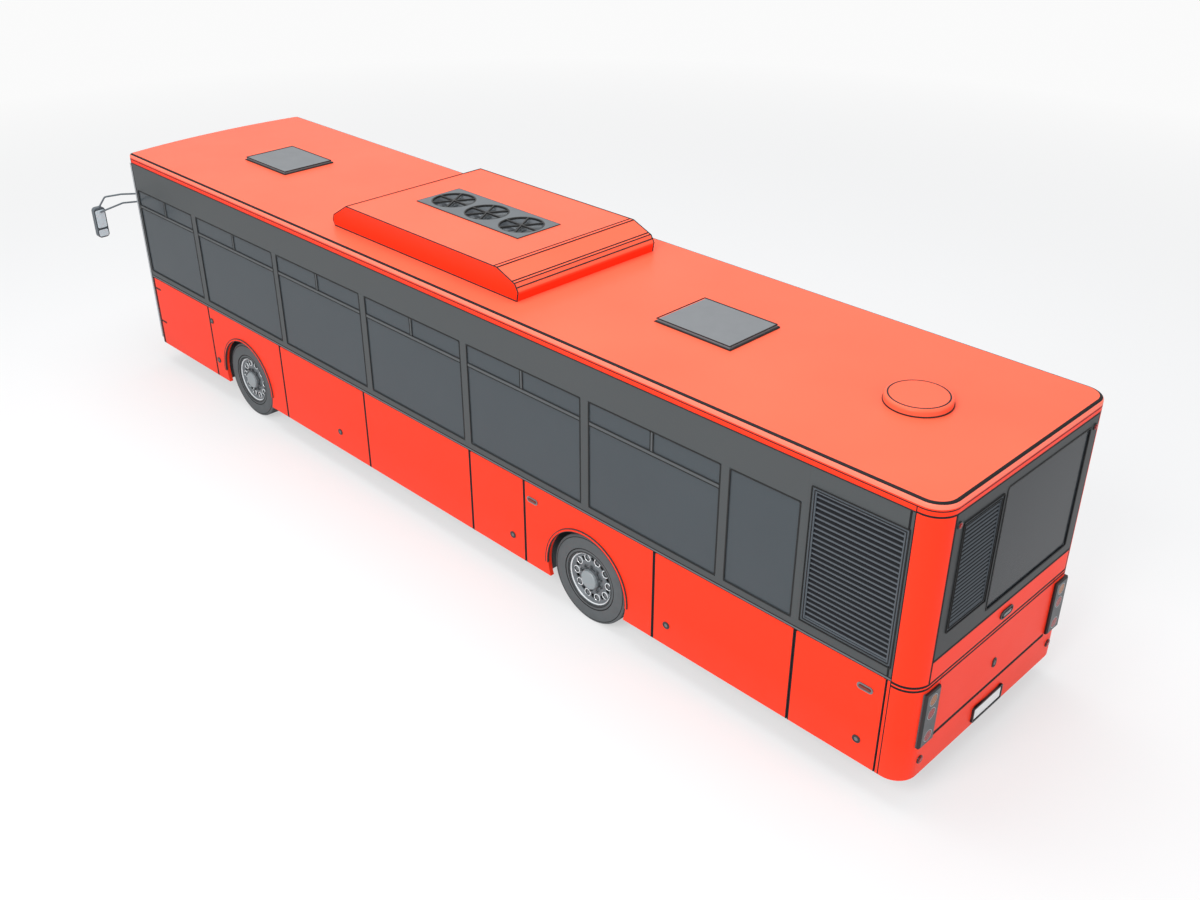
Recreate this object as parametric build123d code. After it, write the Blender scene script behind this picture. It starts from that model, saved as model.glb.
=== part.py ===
"""Full-size low-entry city bus with a left-hand driver's place and its doors on the right side.

Frame: +X is forward, +Y is the bus's left, +Z is up, and the ground is z = 0. The origin is on
the ground at the middle of the overall length and width. Lengths are in millimetres. A station
is a distance ahead of the rear face, and X(station) turns it into the frame's own x.
"""
from build123d import *
import math
import os

# ------------------------------------------------------------------ body shell
BODY_WIDTH = 2550.0
REAR_OVERHANG = 3625.0       # rear face to the rear axle
WHEELBASE = 6120.0
FRONT_OVERHANG = 2275.0      # front axle to the front corners
FRONT_BOW = 110.0            # how far the curved front stands ahead of its corners
MIRROR_LEAD = 100.0          # how far the mirrors reach ahead of the front
LAMP_PROUD = 30.0            # how far the rear lamps stand out behind
REAR_CORNER_R = 200.0
FRONT_CORNER_R = 60.0
WALL_T = 45.0
ROOF_Z = 2950.0
ROOF_T = 60.0
ROOF_EDGE_R = 38.0
SKIRT_Z = 300.0
BELT_Z = 1268.0
REAR_SEAM = 226.0            # station where the side panels meet the rear corner pillars

# ------------------------------------------------------------------ running gear
TYRE_R = 485.0
TYRE_W = 275.0
TWIN_GAP = 40.0              # between the two tyres of a rear pair
TYRE_INBOARD = 40.0          # outer sidewall to the body's side
ARCH_R = 536.0
STEER_ROOM = 620.0           # half length of a front wheelhouse
REAR_ROOM = 560.0            # half length of a rear wheelhouse
HOUSE_T = 30.0
HOUSE_LIFT = 550.0           # wheelhouse roof above the axle
RIM_R = 286.0
HUB_R = 115.0

# ------------------------------------------------------------------ floor levels
LOW_FLOOR_Z = 360.0
DECK_Z = 620.0
BENCH_Z = 930.0
SHELF_Z = 1300.0
FLOOR_T = 40.0
CAB_FLOOR_Z = 660.0
DECK_FRONT = 4700.0          # station of the step up to the rear deck
STEP_RUN = 300.0
BENCH_FRONT = 1600.0
SHELF_FRONT = 1100.0

# ------------------------------------------------------------------ gaps and fits
SEAT_FIT = 0.3               # a fitted piece to its seat
PIN_FIT = 0.1                # radial running clearance of a pin
PANEL_GAP = 6.0              # round a flap or door
FLAP_T = 38.0
LINING_GAP = 2.0             # flap's inner side to the lining behind it
HINGE_R = 4.0
HINGE_EDGE = 5.0             # hinge axis to the edge of either leaf
GLASS_T = 10.0
GLASS_INSET = 8.0
TRANSOM_H = 40.0

# ------------------------------------------------------------------ doors
DOOR_TOP = 2486.0
POST_R = 20.0
POST_INSET = 30.0            # post axis to the jamb
LEAF_T = 40.0
LEAF_NEAR = 30.0             # post axis to the leaf's near edge
LEAF_FAR = 5.0               # leaf's far edge to the middle of the doorway
ARM_T = 12.0
ARM_W = 40.0
ARM_GAP = 6.0
PIVOT_R = 9.0
STILE = 55.0

REAR_AXLE = REAR_OVERHANG
FRONT_AXLE = REAR_AXLE + WHEELBASE
SIDE_LENGTH = FRONT_AXLE + FRONT_OVERHANG
FRONT_SEAM = SIDE_LENGTH - 55.0                     # where the side panels meet the front
OVERALL = SIDE_LENGTH + FRONT_BOW + MIRROR_LEAD
CENTRE = (OVERALL - LAMP_PROUD) / 2
HALF = BODY_WIDTH / 2
INNER = HALF - WALL_T
ROOF_UNDER = ROOF_Z - ROOF_T
HOUSE_Y = HALF - 695.0         # inner wall of a wheelhouse, on the wheel's side
KINGPIN_Y = HALF - 345.0
HOUSE_TOP = TYRE_R + HOUSE_LIFT
# stations of the standard layout and of this bus: rear face, axles, front corners
LAYOUT = [(0.0, 0.0), (3625.0, REAR_AXLE), (9745.0, FRONT_AXLE), (12020.0, SIDE_LENGTH)]


def at(station):
    """Station on this bus of a station given for the standard layout."""
    for (a, here), (b, there) in zip(LAYOUT, LAYOUT[1:]):
        if station <= b or b == LAYOUT[-1][0]:
            return here + (station - a) * (there - here) / (b - a)


def placed(rows, stations):
    """Rows of a standard table with the named columns moved to this bus's stations."""
    return [tuple(at(v) if i in stations else v for i, v in enumerate(row)) for row in rows]


WINDOW_Z = (1361.0, 2486.0)

# name, rear station, front station, has a transom
LEFT_WINDOWS = placed([
    ("w7", 1214.0, 1942.0, False),
    ("w6", 2028.0, 3586.0, True),
    ("w5", 3682.0, 5289.0, True),
    ("w4", 5382.0, 6971.0, True),
    ("w3", 7064.0, 8678.0, True),
    ("w2", 8762.0, 10473.0, True),
    ("w1", 10572.0, 11940.0, True),
], (1, 2))
RIGHT_WINDOWS = placed([
    ("w7", 1214.0, 1942.0, False),
    ("w6", 2028.0, 3586.0, True),
    ("w5", 3682.0, 5480.0, True),
    ("w3", 7064.0, 8678.0, True),
    ("w2", 8762.0, 10380.0, True),
], (1, 2))
TRANSOM_Z = 2260.0
# name, rear station, front station
DOORWAYS = placed([("front", 10500.0, 11800.0), ("middle", 5600.0, 6950.0)], (1, 2))
# name, rear station, front station, open to the engine bay: flaps hinged under the belt line
FLAPS = placed([
    ("flap_battery", 7167.0, 8872.0, False),
    ("flap_tank", 4495.0, 5328.0, False),
    ("flap_radiator", 1160.0, 2740.0, False),
    ("flap_corner", 265.0, 1160.0, True),
], (1, 2))
CAB_FLAP = ("flap_cab", at(10532.0), FRONT_SEAM - 15)
ARCH_SIDES = [axle + turn * ARCH_R for axle in (REAR_AXLE, FRONT_AXLE) for turn in (-1, 1)]
# station of a butt joint between panels, its top
LEFT_JOINTS = [(s, WINDOW_Z[0]) for s in ARCH_SIDES + [at(7100.0)]] + [(at(1160.0), ROOF_UNDER)]
DOOR_SIDES = [s for _, s0, s1 in DOORWAYS for s in (s0 - 40, s1 + 40)]
RIGHT_JOINTS = [(s, WINDOW_Z[0]) for s in ARCH_SIDES + DOOR_SIDES]
SIDE_GRILLE = (at(265.0), at(1117.0), 1400.0, 2655.0)       # stations, heights
REAR_GRILLE = (HALF - 859, HALF - 306, 1720.0, 2700.0)      # y, heights
REAR_WINDOW = (295 - HALF, REAR_GRILLE[0] - 56, 1580.0, 2748.0)
ENGINE_DOOR = (355 - HALF, HALF - 355, 630.0, 1250.0)
WINDSCREEN = (155 - HALF, HALF - 155, 1150.0, 2560.0)
# name, station of its middle, length, width
HATCHES = placed([("hatch_front", 10260.0, 870.0, 680.0), ("hatch_rear", 3190.0, 870.0, 680.0)], (1,))
HATCH_T = 30.0
HATCH_LIFT = 5.0
HATCH_LAP = 40.0
VENT = (at(1050.0), 285.0, 70.0)                        # station, radius, height

# ------------------------------------------------------------------ roof air unit
AIR_HALF_Y = HALF - 325
AIR_SKIN = 14.0
# ahead of the housing's rear end, over the roof: its side profile
AIR_PROFILE = [(18.0, 0.0), (0.0, 100.0), (43.0, 175.0), (298.0, 275.0),
               (2768.0, 275.0), (3018.0, 125.0), (3043.0, 60.0), (3013.0, 0.0)]
AIR_REAR = at(6385.0) - 1523
FAN_PLATE = (AIR_REAR + 723, AIR_REAR + 2373, 300.0, 95.0)  # stations, half width, depth
FAN_COUNT = 3
FAN_WELL_R = 232.0
FAN_TIP_GAP = 12.0
FAN_BLADES = 6

# fittings
TOW_Y = HALF - 655
TOW_Z = 420.0
TOW_BOSS_R = 30.0
TOW_BOSS_L = 130.0
TOW_BORE_R = 13.5
TOW_DEPTH = 80.0
SLAT_TILT = 48.0                # outer edge of a slat below its inner edge
SLAT_W = 44.0
SLAT_T = 3.0
LAMP_Y = (HALF - 340, HALF - 135)
LAMP_Z = (640.0, 1190.0)
LAMP_DEPTH = 30.0
LAMP_R = 48.0
LAMP_EDGE = 12.0                # chamfer round the housing
# material group, height of the round lamp
REAR_LAMPS = [("amber", 1100.0), ("red", 960.0), ("red", 730.0)]
LENS_T = 12.0
HEADLAMP_Y = HALF - 375
HEADLAMP_Z = 700.0
HEADLAMP_R = 95.0
CAB_REAR = max(at(10440.0), FRONT_AXLE + STEER_ROOM + HOUSE_T + 30)
CAB_FRONT = at(11500.0)
CAB_INNER = 100.0
DRIVER_Y = HALF - 655          # middle of the driver's place
AXLE_BEAM = 140.0
BEAM_ROOM = 60.0                # in front of and behind the rear axle beam
RAIL_W = 70.0
# rear station, front station, y of the rail's middle, bottom, top
RAILS = [
    (150.0, REAR_AXLE - 625, 480.0, 380.0, 440.0),
    (DECK_FRONT, FRONT_AXLE - 665, 420.0, 210.0, 320.0),
    (FRONT_AXLE + 675, SIDE_LENGTH - 170, 420.0, 210.0, 320.0),
]
OUTRIGGER = INNER - 15         # half length of a crossmember
# station, half width, bottom, top
CROSSMEMBERS = [
    (200.0, INNER - 230, 380.0, 440.0), (at(1500.0), OUTRIGGER, 380.0, 440.0),
    (REAR_AXLE - 675, OUTRIGGER, 380.0, 440.0), (DECK_FRONT + 60, OUTRIGGER, 250.0, 320.0),
    (at(5600.0), OUTRIGGER, 250.0, 320.0), (at(6500.0), OUTRIGGER, 250.0, 320.0),
    (at(7400.0), OUTRIGGER, 250.0, 320.0), (at(8300.0), OUTRIGGER, 250.0, 320.0),
    (FRONT_AXLE - 705, OUTRIGGER, 250.0, 320.0), (FRONT_AXLE + 715, OUTRIGGER, 250.0, 320.0),
    (SIDE_LENGTH - 220, OUTRIGGER - 65, 250.0, 320.0),
]
HANGER_STATIONS = (BENCH_FRONT + 80, REAR_AXLE - 675)
ENGINE = (250.0, 1450.0, -450.0, 560.0, 440.0, 880.0)
TOWER_Y = HALF - 875
TOWER_T = 30.0
FRONT_BEAM_Z = (190.0, 270.0)
PORTAL_Y = HOUSE_Y - 90        # inner side of a rear portal box
PORTAL_W = 110.0
EYE_Z = (TYRE_R - 40.0, TYRE_R + 40.0)
KINGPIN_R = 22.0
LUG_T = 42.0
SPINDLE_R = 40.0
SPINDLE_L = 110.0
REAR_SPINDLE_L = 440.0
# lateral place from the tyre's middle, radius: tyre section, inner bead to inner bead
TYRE_SECTION = [(-106.0, RIM_R), (-110.0, 307.0), (-134.0, 345.0), (-137.5, 395.0), (-128.0, 452.0),
                (-104.0, TYRE_R - 3), (0.0, TYRE_R), (104.0, TYRE_R - 3), (128.0, 452.0), (137.5, 395.0),
                (134.0, 345.0), (110.0, 307.0), (106.0, RIM_R)]
# lateral place from the tyre's middle, radius: rim section, outer side positive
RIM_SECTION = [(-122.0, 281.0), (-122.0, 300.0), (-112.0, 300.0), (-111.0, RIM_R - SEAT_FIT),
               (111.0, RIM_R - SEAT_FIT), (112.0, 300.0), (124.0, 300.0), (124.0, 290.0), (104.0, 268.0),
               (84.0, 240.0), (80.0, 190.0), (96.0, 160.0), (96.0, HUB_R), (122.0, HUB_R - 6),
               (128.0, HUB_R - 30), (128.0, 0.0), (88.0, 0.0), (88.0, 150.0), (70.0, 185.0), (70.0, 262.0),
               (62.0, 272.0), (-108.0, 272.0)]
DISC_BACK = 88.0             # lateral place of the disc's inner side at the hub
HAND_HOLES = 10
HAND_HOLE_R = 23.0
HAND_HOLE_PCD = 215.0
# station of the seat's middle, side, floor level: pairs facing forward
SEAT_PAIRS = placed([
    (2150.0, 1, DECK_Z), (2150.0, -1, DECK_Z),
    (3300.0, 1, HOUSE_TOP + HOUSE_T - 300), (3300.0, -1, HOUSE_TOP + HOUSE_T - 300),
    (5150.0, 1, LOW_FLOOR_Z), (5950.0, 1, LOW_FLOOR_Z), (6750.0, 1, LOW_FLOOR_Z),
    (7550.0, 1, LOW_FLOOR_Z), (8350.0, 1, LOW_FLOOR_Z),
    (7700.0, -1, LOW_FLOOR_Z), (8500.0, -1, LOW_FLOOR_Z),
], (0,))
SEAT_HEIGHT = 430.0
SEAT_DEPTH = 420.0
SEAT_CUSHION = 80.0
SEAT_PAIR_W = 880.0             # two places side by side
SEAT_WALL_GAP = 25.0
BACK_T = 55.0
BACK_H = 560.0
LEG_W = 90.0
DRIVER_SEAT = (at(10900.0), DRIVER_Y, 520.0, 440.0)        # station, y, width, height over the platform
# station, y, floor level
POLES = placed([
    (2450.0, 310.0, DECK_Z), (2450.0, -310.0, DECK_Z), (4300.0, 480.0, DECK_Z), (4300.0, -480.0, DECK_Z),
    (5400.0, -480.0, LOW_FLOOR_Z), (7200.0, -480.0, LOW_FLOOR_Z), (5550.0, 310.0, LOW_FLOOR_Z),
    (7150.0, 310.0, LOW_FLOOR_Z), (8750.0, 310.0, LOW_FLOOR_Z), (8900.0, -310.0, LOW_FLOOR_Z),
    (10410.0, -480.0, LOW_FLOOR_Z),
], (0,))
POLE_R = 17.0
DASH_END = -430.0               # clear of the front doorway's leaves
WHEEL_CENTRE = (CAB_FRONT - 260, DRIVER_Y, 1340.0)
DASH_DEPTH = 320.0
DASH_HALF = 480.0
WHEEL_TILT = 25.0
WHEEL_R = 225.0
WHEEL_TUBE = 14.0
# ahead of the front corner, outside the body, height: paths of the two arms
UPPER_ARM = [(0.0, -35.0, 2405.0), (60.0, 165.0, 2430.0), (120.0, 365.0, 2425.0), (150.0, 460.0, 2290.0)]
LOWER_ARM = [(0.0, -35.0, 2300.0), (60.0, 165.0, 2312.0), (130.0, 460.0, 2240.0)]
MIRROR_HEAD = (HALF + 385, HALF + 535, 1900.0, 2300.0, 70.0)
ARM_R = 11.0


def X(station):
    """Frame x of a station, which is measured forward from the rear face."""
    return station - CENTRE


def block(s0, s1, y0, y1, z0, z1):
    """Box between two stations, two y and two z."""
    return Pos((X(s0) + X(s1)) / 2, (y0 + y1) / 2, (z0 + z1) / 2) * Box(s1 - s0, y1 - y0, z1 - z0)


def rod(s, y, z, radius, length, axis="Z"):
    """Cylinder centred at a station, y and z, along a named axis."""
    turn = {"X": Rot(0, 90, 0), "Y": Rot(90, 0, 0), "Z": Rot(0, 0, 0)}[axis]
    return Pos(X(s), y, z) * turn * Cylinder(radius, length)


def body_plan(inset=0.0):
    """Plan outline of the body, a given distance inside its outer skin."""
    corners = [(X(SIDE_LENGTH), HALF), (X(0), HALF), (X(0), -HALF), (X(SIDE_LENGTH), -HALF)]
    bow = ThreePointArc(corners[3], (X(SIDE_LENGTH + FRONT_BOW), 0), corners[0])
    face = make_face([*Polyline(*corners).edges(), *bow.edges()])
    ends = face.vertices().sort_by(Axis.X)
    face = fillet(ends[:2], REAR_CORNER_R)
    face = fillet(face.vertices().sort_by(Axis.X)[-2:], FRONT_CORNER_R)
    return offset(face, -inset) if inset else face


def prism(inset, z0, z1):
    """The body's plan, inset and raised between two heights."""
    return Pos(0, 0, z0) * extrude(body_plan(inset), z1 - z0)


def wall_ring(outer=0.0, inner=WALL_T, z0=SKIRT_Z, z1=ROOF_UNDER):
    """Upright shell round the body between two insets."""
    return prism(outer, z0, z1) - prism(inner, z0, z1)


# ------------------------------------------------------------------ hinges
def knuckles(length, count, parity, reach, web_turn=0.0):
    """Hinge knuckles along X at the origin: every other one, with a web turned from -Z."""
    pitch = length / count
    parts = []
    for index in range(parity, count, 2):
        x = (index + 0.5) * pitch - length / 2
        barrel = Rot(0, 90, 0) * Cylinder(HINGE_R, pitch - 2 * SEAT_FIT)
        web = Pos(0, 0, -reach / 2) * Box(pitch - 2 * SEAT_FIT, 2 * HINGE_R, reach)
        parts.append(Pos(x, 0, 0) * (barrel + Rot(web_turn, 0, 0) * web))
    return parts


def hinge(place, length, count=5, fixed_turn=180.0, moving_turn=0.0):
    """Fixed and moving knuckles of one hinge, at a place whose X is the hinge's axis."""
    reach = HINGE_EDGE + 0.5
    fixed = [place * part for part in knuckles(length, count, 0, reach, fixed_turn)]
    moving = [place * part for part in knuckles(length, count, 1, reach, moving_turn)]
    return fixed, moving


def flap_panel(s0, s1):
    """Locker flap in the left skirt with its hinge; returns flap and fixed knuckles."""
    half_gap = PANEL_GAP / 2
    top = BELT_Z - 2 * HINGE_EDGE
    panel = block(s0 + half_gap, s1 - half_gap, HALF - FLAP_T, HALF, SKIRT_Z, top)
    place = Pos(X((s0 + s1) / 2), HALF - HINGE_R, BELT_Z - HINGE_EDGE)
    fixed, moving = hinge(place, s1 - s0 - 60)
    for part in moving:
        panel += part
    return panel, fixed


# ------------------------------------------------------------------ side walls
def arch_cut(axle, side):
    """Round wheel opening through a side wall."""
    y = side * (HALF - WALL_T / 2)
    return rod(axle, y, TYRE_R, ARCH_R, WALL_T * 2, "Y")


def side_wall(side, windows):
    """One side of the body, with its windows and wheel arches cut."""
    y0, y1 = sorted((side * (HALF - 2 * WALL_T), side * (HALF + 1)))
    wall = wall_ring() & block(REAR_SEAM, FRONT_SEAM, y0, y1, 0, ROOF_Z)
    for _, s0, s1, _ in windows:
        wall -= block(s0, s1, y0, y1, *WINDOW_Z)
    for axle in (REAR_AXLE, FRONT_AXLE):
        wall -= arch_cut(axle, side)
    return wall


def saw(wall, side, joints):
    """Parts a side wall into lower panels, window pillars and cantrail."""
    y0, y1 = sorted((side * (HALF - 2 * WALL_T), side * (HALF + 1)))
    g = SEAT_FIT / 2
    for z in WINDOW_Z:
        wall -= block(REAR_SEAM - 1, FRONT_SEAM + 1, y0, y1, z - g, z + g)
    for s, top in joints:
        wall -= block(s - g, s + g, y0, y1, 0, top)
    return Compound(children=wall.solids())


def build_left_wall():
    """Left side with its locker openings, and the flaps that close them."""
    wall = side_wall(1, LEFT_WINDOWS)
    s0, s1, z0, z1 = SIDE_GRILLE
    y0, y1 = HALF - 2 * WALL_T, HALF + 1
    wall -= block(s0, s1, y0, y1, z0, z1)
    pieces = {}
    lining = HALF - FLAP_T - LINING_GAP
    for name, s0, s1, through in FLAPS:
        deep = y0 if through else lining
        wall -= block(s0 - PANEL_GAP / 2, s1 + PANEL_GAP / 2, deep, y1, SKIRT_Z - 1, BELT_Z)
        pieces[name], fixed = flap_panel(s0, s1)
        for part in fixed:
            wall += part
    name, s0, s1 = CAB_FLAP
    top = BELT_Z - PANEL_GAP
    wall -= block(s0 - PANEL_GAP / 2, s1 + HINGE_EDGE, lining, y1, SKIRT_Z - 1, BELT_Z)
    panel = block(s0 + PANEL_GAP / 2, s1 - HINGE_EDGE, HALF - FLAP_T, HALF, SKIRT_Z, top)
    place = Pos(X(s1), HALF - HINGE_R, (SKIRT_Z + top) / 2) * Rot(0, -90, 0)
    fixed, moving = hinge(place, top - SKIRT_Z - 60, 5, 0.0, 180.0)
    for part in fixed:
        wall += part
    for part in moving:
        panel += part
    pieces[name] = panel
    pieces["wall_left"] = saw(wall, 1, LEFT_JOINTS)
    return pieces


def build_right_wall():
    """Right side with its doorways."""
    wall = side_wall(-1, RIGHT_WINDOWS)
    for _, s0, s1 in DOORWAYS:
        wall -= block(s0, s1, -HALF - 1, -HALF + 2 * WALL_T, LOW_FLOOR_Z, DOOR_TOP)
    return {"wall_right": saw(wall, -1, RIGHT_JOINTS)}


def build_side_glass():
    """Panes of both sides and the dark bars that divide them."""
    glass = []
    bars = []
    for side, windows in ((1, LEFT_WINDOWS), (-1, RIGHT_WINDOWS)):
        y_out = side * (HALF - GLASS_INSET)
        y_in = side * (HALF - GLASS_INSET - GLASS_T)
        y0, y1 = sorted((y_out, y_in))
        f0, f1 = sorted((y_out, side * HALF))
        for _, s0, s1, transom in windows:
            glass.append(block(s0, s1, y0, y1, *WINDOW_Z))
            if transom:
                middle = (s0 + s1) / 2
                half_h = TRANSOM_H / 2
                bar = block(s0, s1, f0, f1, TRANSOM_Z - half_h, TRANSOM_Z + half_h)
                post = block(middle - half_h, middle + half_h, f0, f1, TRANSOM_Z, WINDOW_Z[1])
                bars.append(bar + post)
    y0, y1, z0, z1 = REAR_WINDOW
    glass.append(block(GLASS_INSET, GLASS_INSET + GLASS_T, y0, y1, z0, z1))
    return {"glass_sides": Compound(children=glass), "window_bars": Compound(children=bars)}


# ------------------------------------------------------------------ ends and roof
def build_rear_mask():
    """Rear wall with both corner pillars, and the engine door hinged in it."""
    mask = wall_ring() & block(-1, REAR_SEAM, -HALF - 1, HALF + 1, 0, ROOF_Z)
    for y0, y1, z0, z1 in (REAR_WINDOW, REAR_GRILLE, ENGINE_DOOR):
        mask -= block(-1, 2 * WALL_T, y0, y1, z0, z1)
    y0, y1, z0, z1 = ENGINE_DOOR
    half_gap = PANEL_GAP
    door = block(0, FLAP_T, y0 + half_gap, y1 - half_gap, z0 + half_gap, z1 - 2 * HINGE_EDGE)
    place = Pos(X(HINGE_R), (y0 + y1) / 2, z1 - HINGE_EDGE) * Rot(0, 0, 90)
    fixed, moving = hinge(place, y1 - y0 - 60)
    for part in fixed:
        mask += part
    for part in moving:
        door += part
    for side in (1, -1):
        mask -= lamp_pocket(side)
    return {"rear_mask": mask, "engine_door": door}


def build_front_mask():
    """Bowed front with the windscreen opening, and the curved windscreen in it."""
    front = block(FRONT_SEAM, OVERALL, -HALF - 1, HALF + 1, 0, ROOF_Z)
    mask = wall_ring() & front
    y0, y1, z0, z1 = WINDSCREEN
    opening = block(FRONT_SEAM - 1, OVERALL, y0, y1, z0, z1)
    mask -= opening
    for lamp in headlamp_cuts():
        mask -= lamp
    socket = rod(SIDE_LENGTH + 20, TOW_Y, TOW_Z, TOW_BOSS_R, TOW_BOSS_L, "X")
    bore_depth = TOW_DEPTH
    mouth = SIDE_LENGTH + 20 + TOW_BOSS_L / 2
    mask -= rod(mouth + WALL_T, TOW_Y, TOW_Z, TOW_BOSS_R, 2 * WALL_T, "X")
    mask += socket
    mask -= rod(mouth - bore_depth / 2, TOW_Y, TOW_Z, TOW_BORE_R, bore_depth, "X")
    screen = wall_ring(GLASS_INSET, GLASS_INSET + GLASS_T, z0, z1) & opening
    return {"front_mask": mask, "windscreen": screen}


def build_roof():
    """Roof panel with rounded edges, hatch openings and the round vent, and both hatches."""
    roof = prism(0, ROOF_UNDER, ROOF_Z)
    top = roof.faces().sort_by(Axis.Z)[-1]
    roof = fillet(top.edges(), ROOF_EDGE_R)
    pieces = {}
    for name, middle, length, width in HATCHES:
        half = length / 2
        s0, s1 = middle - half, middle + half
        lap = HATCH_LAP
        roof -= block(s0 + lap, s1 - lap, lap - width / 2, width / 2 - lap, ROOF_UNDER - 1, ROOF_Z + 1)
        base = ROOF_Z + HATCH_LIFT
        lid = block(s0, s1, -width / 2, width / 2, base, base + HATCH_T)
        lid = chamfer(lid.faces().sort_by(Axis.Z)[-1].edges(), HATCH_T * 0.45)
        place = Pos(X(s1 + HINGE_EDGE), 0, base) * Rot(0, 0, 90)
        fixed, moving = hinge(place, width - 60, 3, 0.0, 90.0)
        for part in fixed:
            roof += part & block(s1, s1 + 60, -width, width, ROOF_Z, ROOF_Z + 60)
        for part in moving:
            lid += part
        pieces[name] = lid
    station, radius, height = VENT
    cap = rod(station, 0, ROOF_Z + height / 2, radius, height)
    cap = fillet(cap.faces().sort_by(Axis.Z)[-1].edges(), height * 0.4)
    pieces["roof"] = roof + cap
    return pieces


# ------------------------------------------------------------------ grilles and lamps


def louvre_panel(width, height, depth, count, frame):
    """Framed louvres in the XZ plane, facing -Y, centred on the origin."""
    outer = Box(width, depth, height)
    panel = outer - Box(width - 2 * frame, depth + 2, height - 2 * frame)
    clear = height - 2 * frame
    pitch = clear / count
    slat = Rot(SLAT_TILT, 0, 0) * Box(width - 2 * frame, SLAT_W, SLAT_T)
    for index in range(count):
        z = (index + 0.5) * pitch - clear / 2
        panel += Pos(0, 0, z) * slat
    return panel


def build_grilles():
    """Side and rear grilles of the engine tower."""
    depth = 34.0
    s0, s1, z0, z1 = SIDE_GRILLE
    side = Rot(0, 0, 180) * louvre_panel(s1 - s0, z1 - z0, depth, 25, 34)
    side = Pos(X((s0 + s1) / 2), HALF - depth / 2, (z0 + z1) / 2) * side
    y0, y1, z0, z1 = REAR_GRILLE
    rear = Rot(0, 0, -90) * louvre_panel(y1 - y0, z1 - z0, depth, 24, 30)
    rear = Pos(X(depth / 2), (y0 + y1) / 2, (z0 + z1) / 2) * rear
    return {"grilles": Compound(children=[side, rear])}


def lamp_pocket(side):
    """Pocket in the rear wall for one lamp cluster."""
    y0, y1 = sorted((side * LAMP_Y[0], side * LAMP_Y[1]))
    return block(-1, LAMP_DEPTH, y0, y1, *LAMP_Z)


def headlamp_cuts():
    """Round holes for the headlamps in the front."""
    return [rod(SIDE_LENGTH, side * HEADLAMP_Y, HEADLAMP_Z, HEADLAMP_R, 400, "X") for side in (1, -1)]


def build_lamps():
    """Lamp housings and their round lenses."""
    housings = []
    lenses = {"amber": [], "red": [], "clear": []}
    for side in (1, -1):
        y0, y1 = sorted((side * LAMP_Y[0], side * LAMP_Y[1]))
        y = (y0 + y1) / 2
        fit = SEAT_FIT
        housing = block(-LAMP_PROUD, LAMP_DEPTH - fit, y0 + fit, y1 - fit, LAMP_Z[0] + fit, LAMP_Z[1] - fit)
        housing = chamfer(housing.faces().sort_by(Axis.X)[0].edges(), LAMP_EDGE)
        for group, z in REAR_LAMPS:
            housing -= rod(LENS_T / 2 - LAMP_PROUD, y, z, LAMP_R, LENS_T, "X")
            lenses[group].append(rod(LENS_T / 2 - LAMP_PROUD, y, z, LAMP_R - SEAT_FIT, LENS_T, "X"))
        housings.append(housing)
        bowl = rod(SIDE_LENGTH - 10, side * HEADLAMP_Y, HEADLAMP_Z, HEADLAMP_R - SEAT_FIT, 60, "X")
        housings.append(bowl)
        lens = rod(SIDE_LENGTH + 35, side * HEADLAMP_Y, HEADLAMP_Z, HEADLAMP_R - SEAT_FIT, 30, "X")
        lenses["clear"].append(lens)
    pieces = {"lamp_housings": Compound(children=housings)}
    for group, parts in lenses.items():
        pieces["lamps_" + group] = Compound(children=parts)
    return pieces


# ------------------------------------------------------------------ roof air unit
def build_air_unit():
    """Roof housing, its fan tray and the fans that turn in it."""
    points = [(X(AIR_REAR + s), ROOF_Z + z) for s, z in AIR_PROFILE]
    outer = extrude(Plane.XZ * make_face(Polyline(*points, close=True)), AIR_HALF_Y, both=True)
    inner_face = offset(make_face(Polyline(*points, close=True)), -AIR_SKIN)
    inner = extrude(Plane.XZ * inner_face, AIR_HALF_Y - AIR_SKIN, both=True)
    cover = outer - inner
    under = inner_face.bounding_box().min.X, inner_face.bounding_box().max.X
    s0, s1 = under[0] + CENTRE + 20, under[1] + CENTRE - 20
    cover -= block(s0, s1, AIR_SKIN - AIR_HALF_Y, AIR_HALF_Y - AIR_SKIN, ROOF_Z - 1, ROOF_Z + 2 * AIR_SKIN)
    s0, s1, half, depth = FAN_PLATE
    top = ROOF_Z + AIR_PROFILE[3][1]
    cover -= block(s0, s1, -half, half, top - 2 * AIR_SKIN, top + 1)
    tray = block(s0, s1, -half, half, top - depth, top + 8)
    pieces = {}
    pitch = (s1 - s0) / FAN_COUNT
    floor_z = top - depth + 12
    guard_z = top + 4
    for index in range(FAN_COUNT):
        s = s0 + (index + 0.5) * pitch
        well_h = top + 9 - floor_z
        tray -= rod(s, 0, floor_z + well_h / 2, FAN_WELL_R, well_h)
        for bar in range(3):
            spoke = Box(2 * FAN_WELL_R + 4, 16, 8)
            tray += Pos(X(s), 0, guard_z) * Rot(0, 0, 60 * bar) * spoke
        boss = rod(s, 0, floor_z + 8, 30, 18)
        tray += boss
        pieces["fan_%d" % (index + 1)] = fan(s, floor_z + 17 + SEAT_FIT)
    pieces["fan_tray"] = tray
    pieces["air_unit"] = cover
    return pieces


def fan(station, z):
    """Bladed rotor that stands on its boss at a height."""
    hub = rod(station, 0, z + 18, 62, 36)
    tip = FAN_WELL_R - FAN_TIP_GAP
    for index in range(FAN_BLADES):
        blade = Pos((tip + 50) / 2, 0, 0) * Rot(28, 0, 0) * Box(tip - 50, 70, 3)
        hub += Pos(X(station), 0, z + 18) * Rot(0, 0, 360 / FAN_BLADES * index) * blade
    return hub


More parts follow.
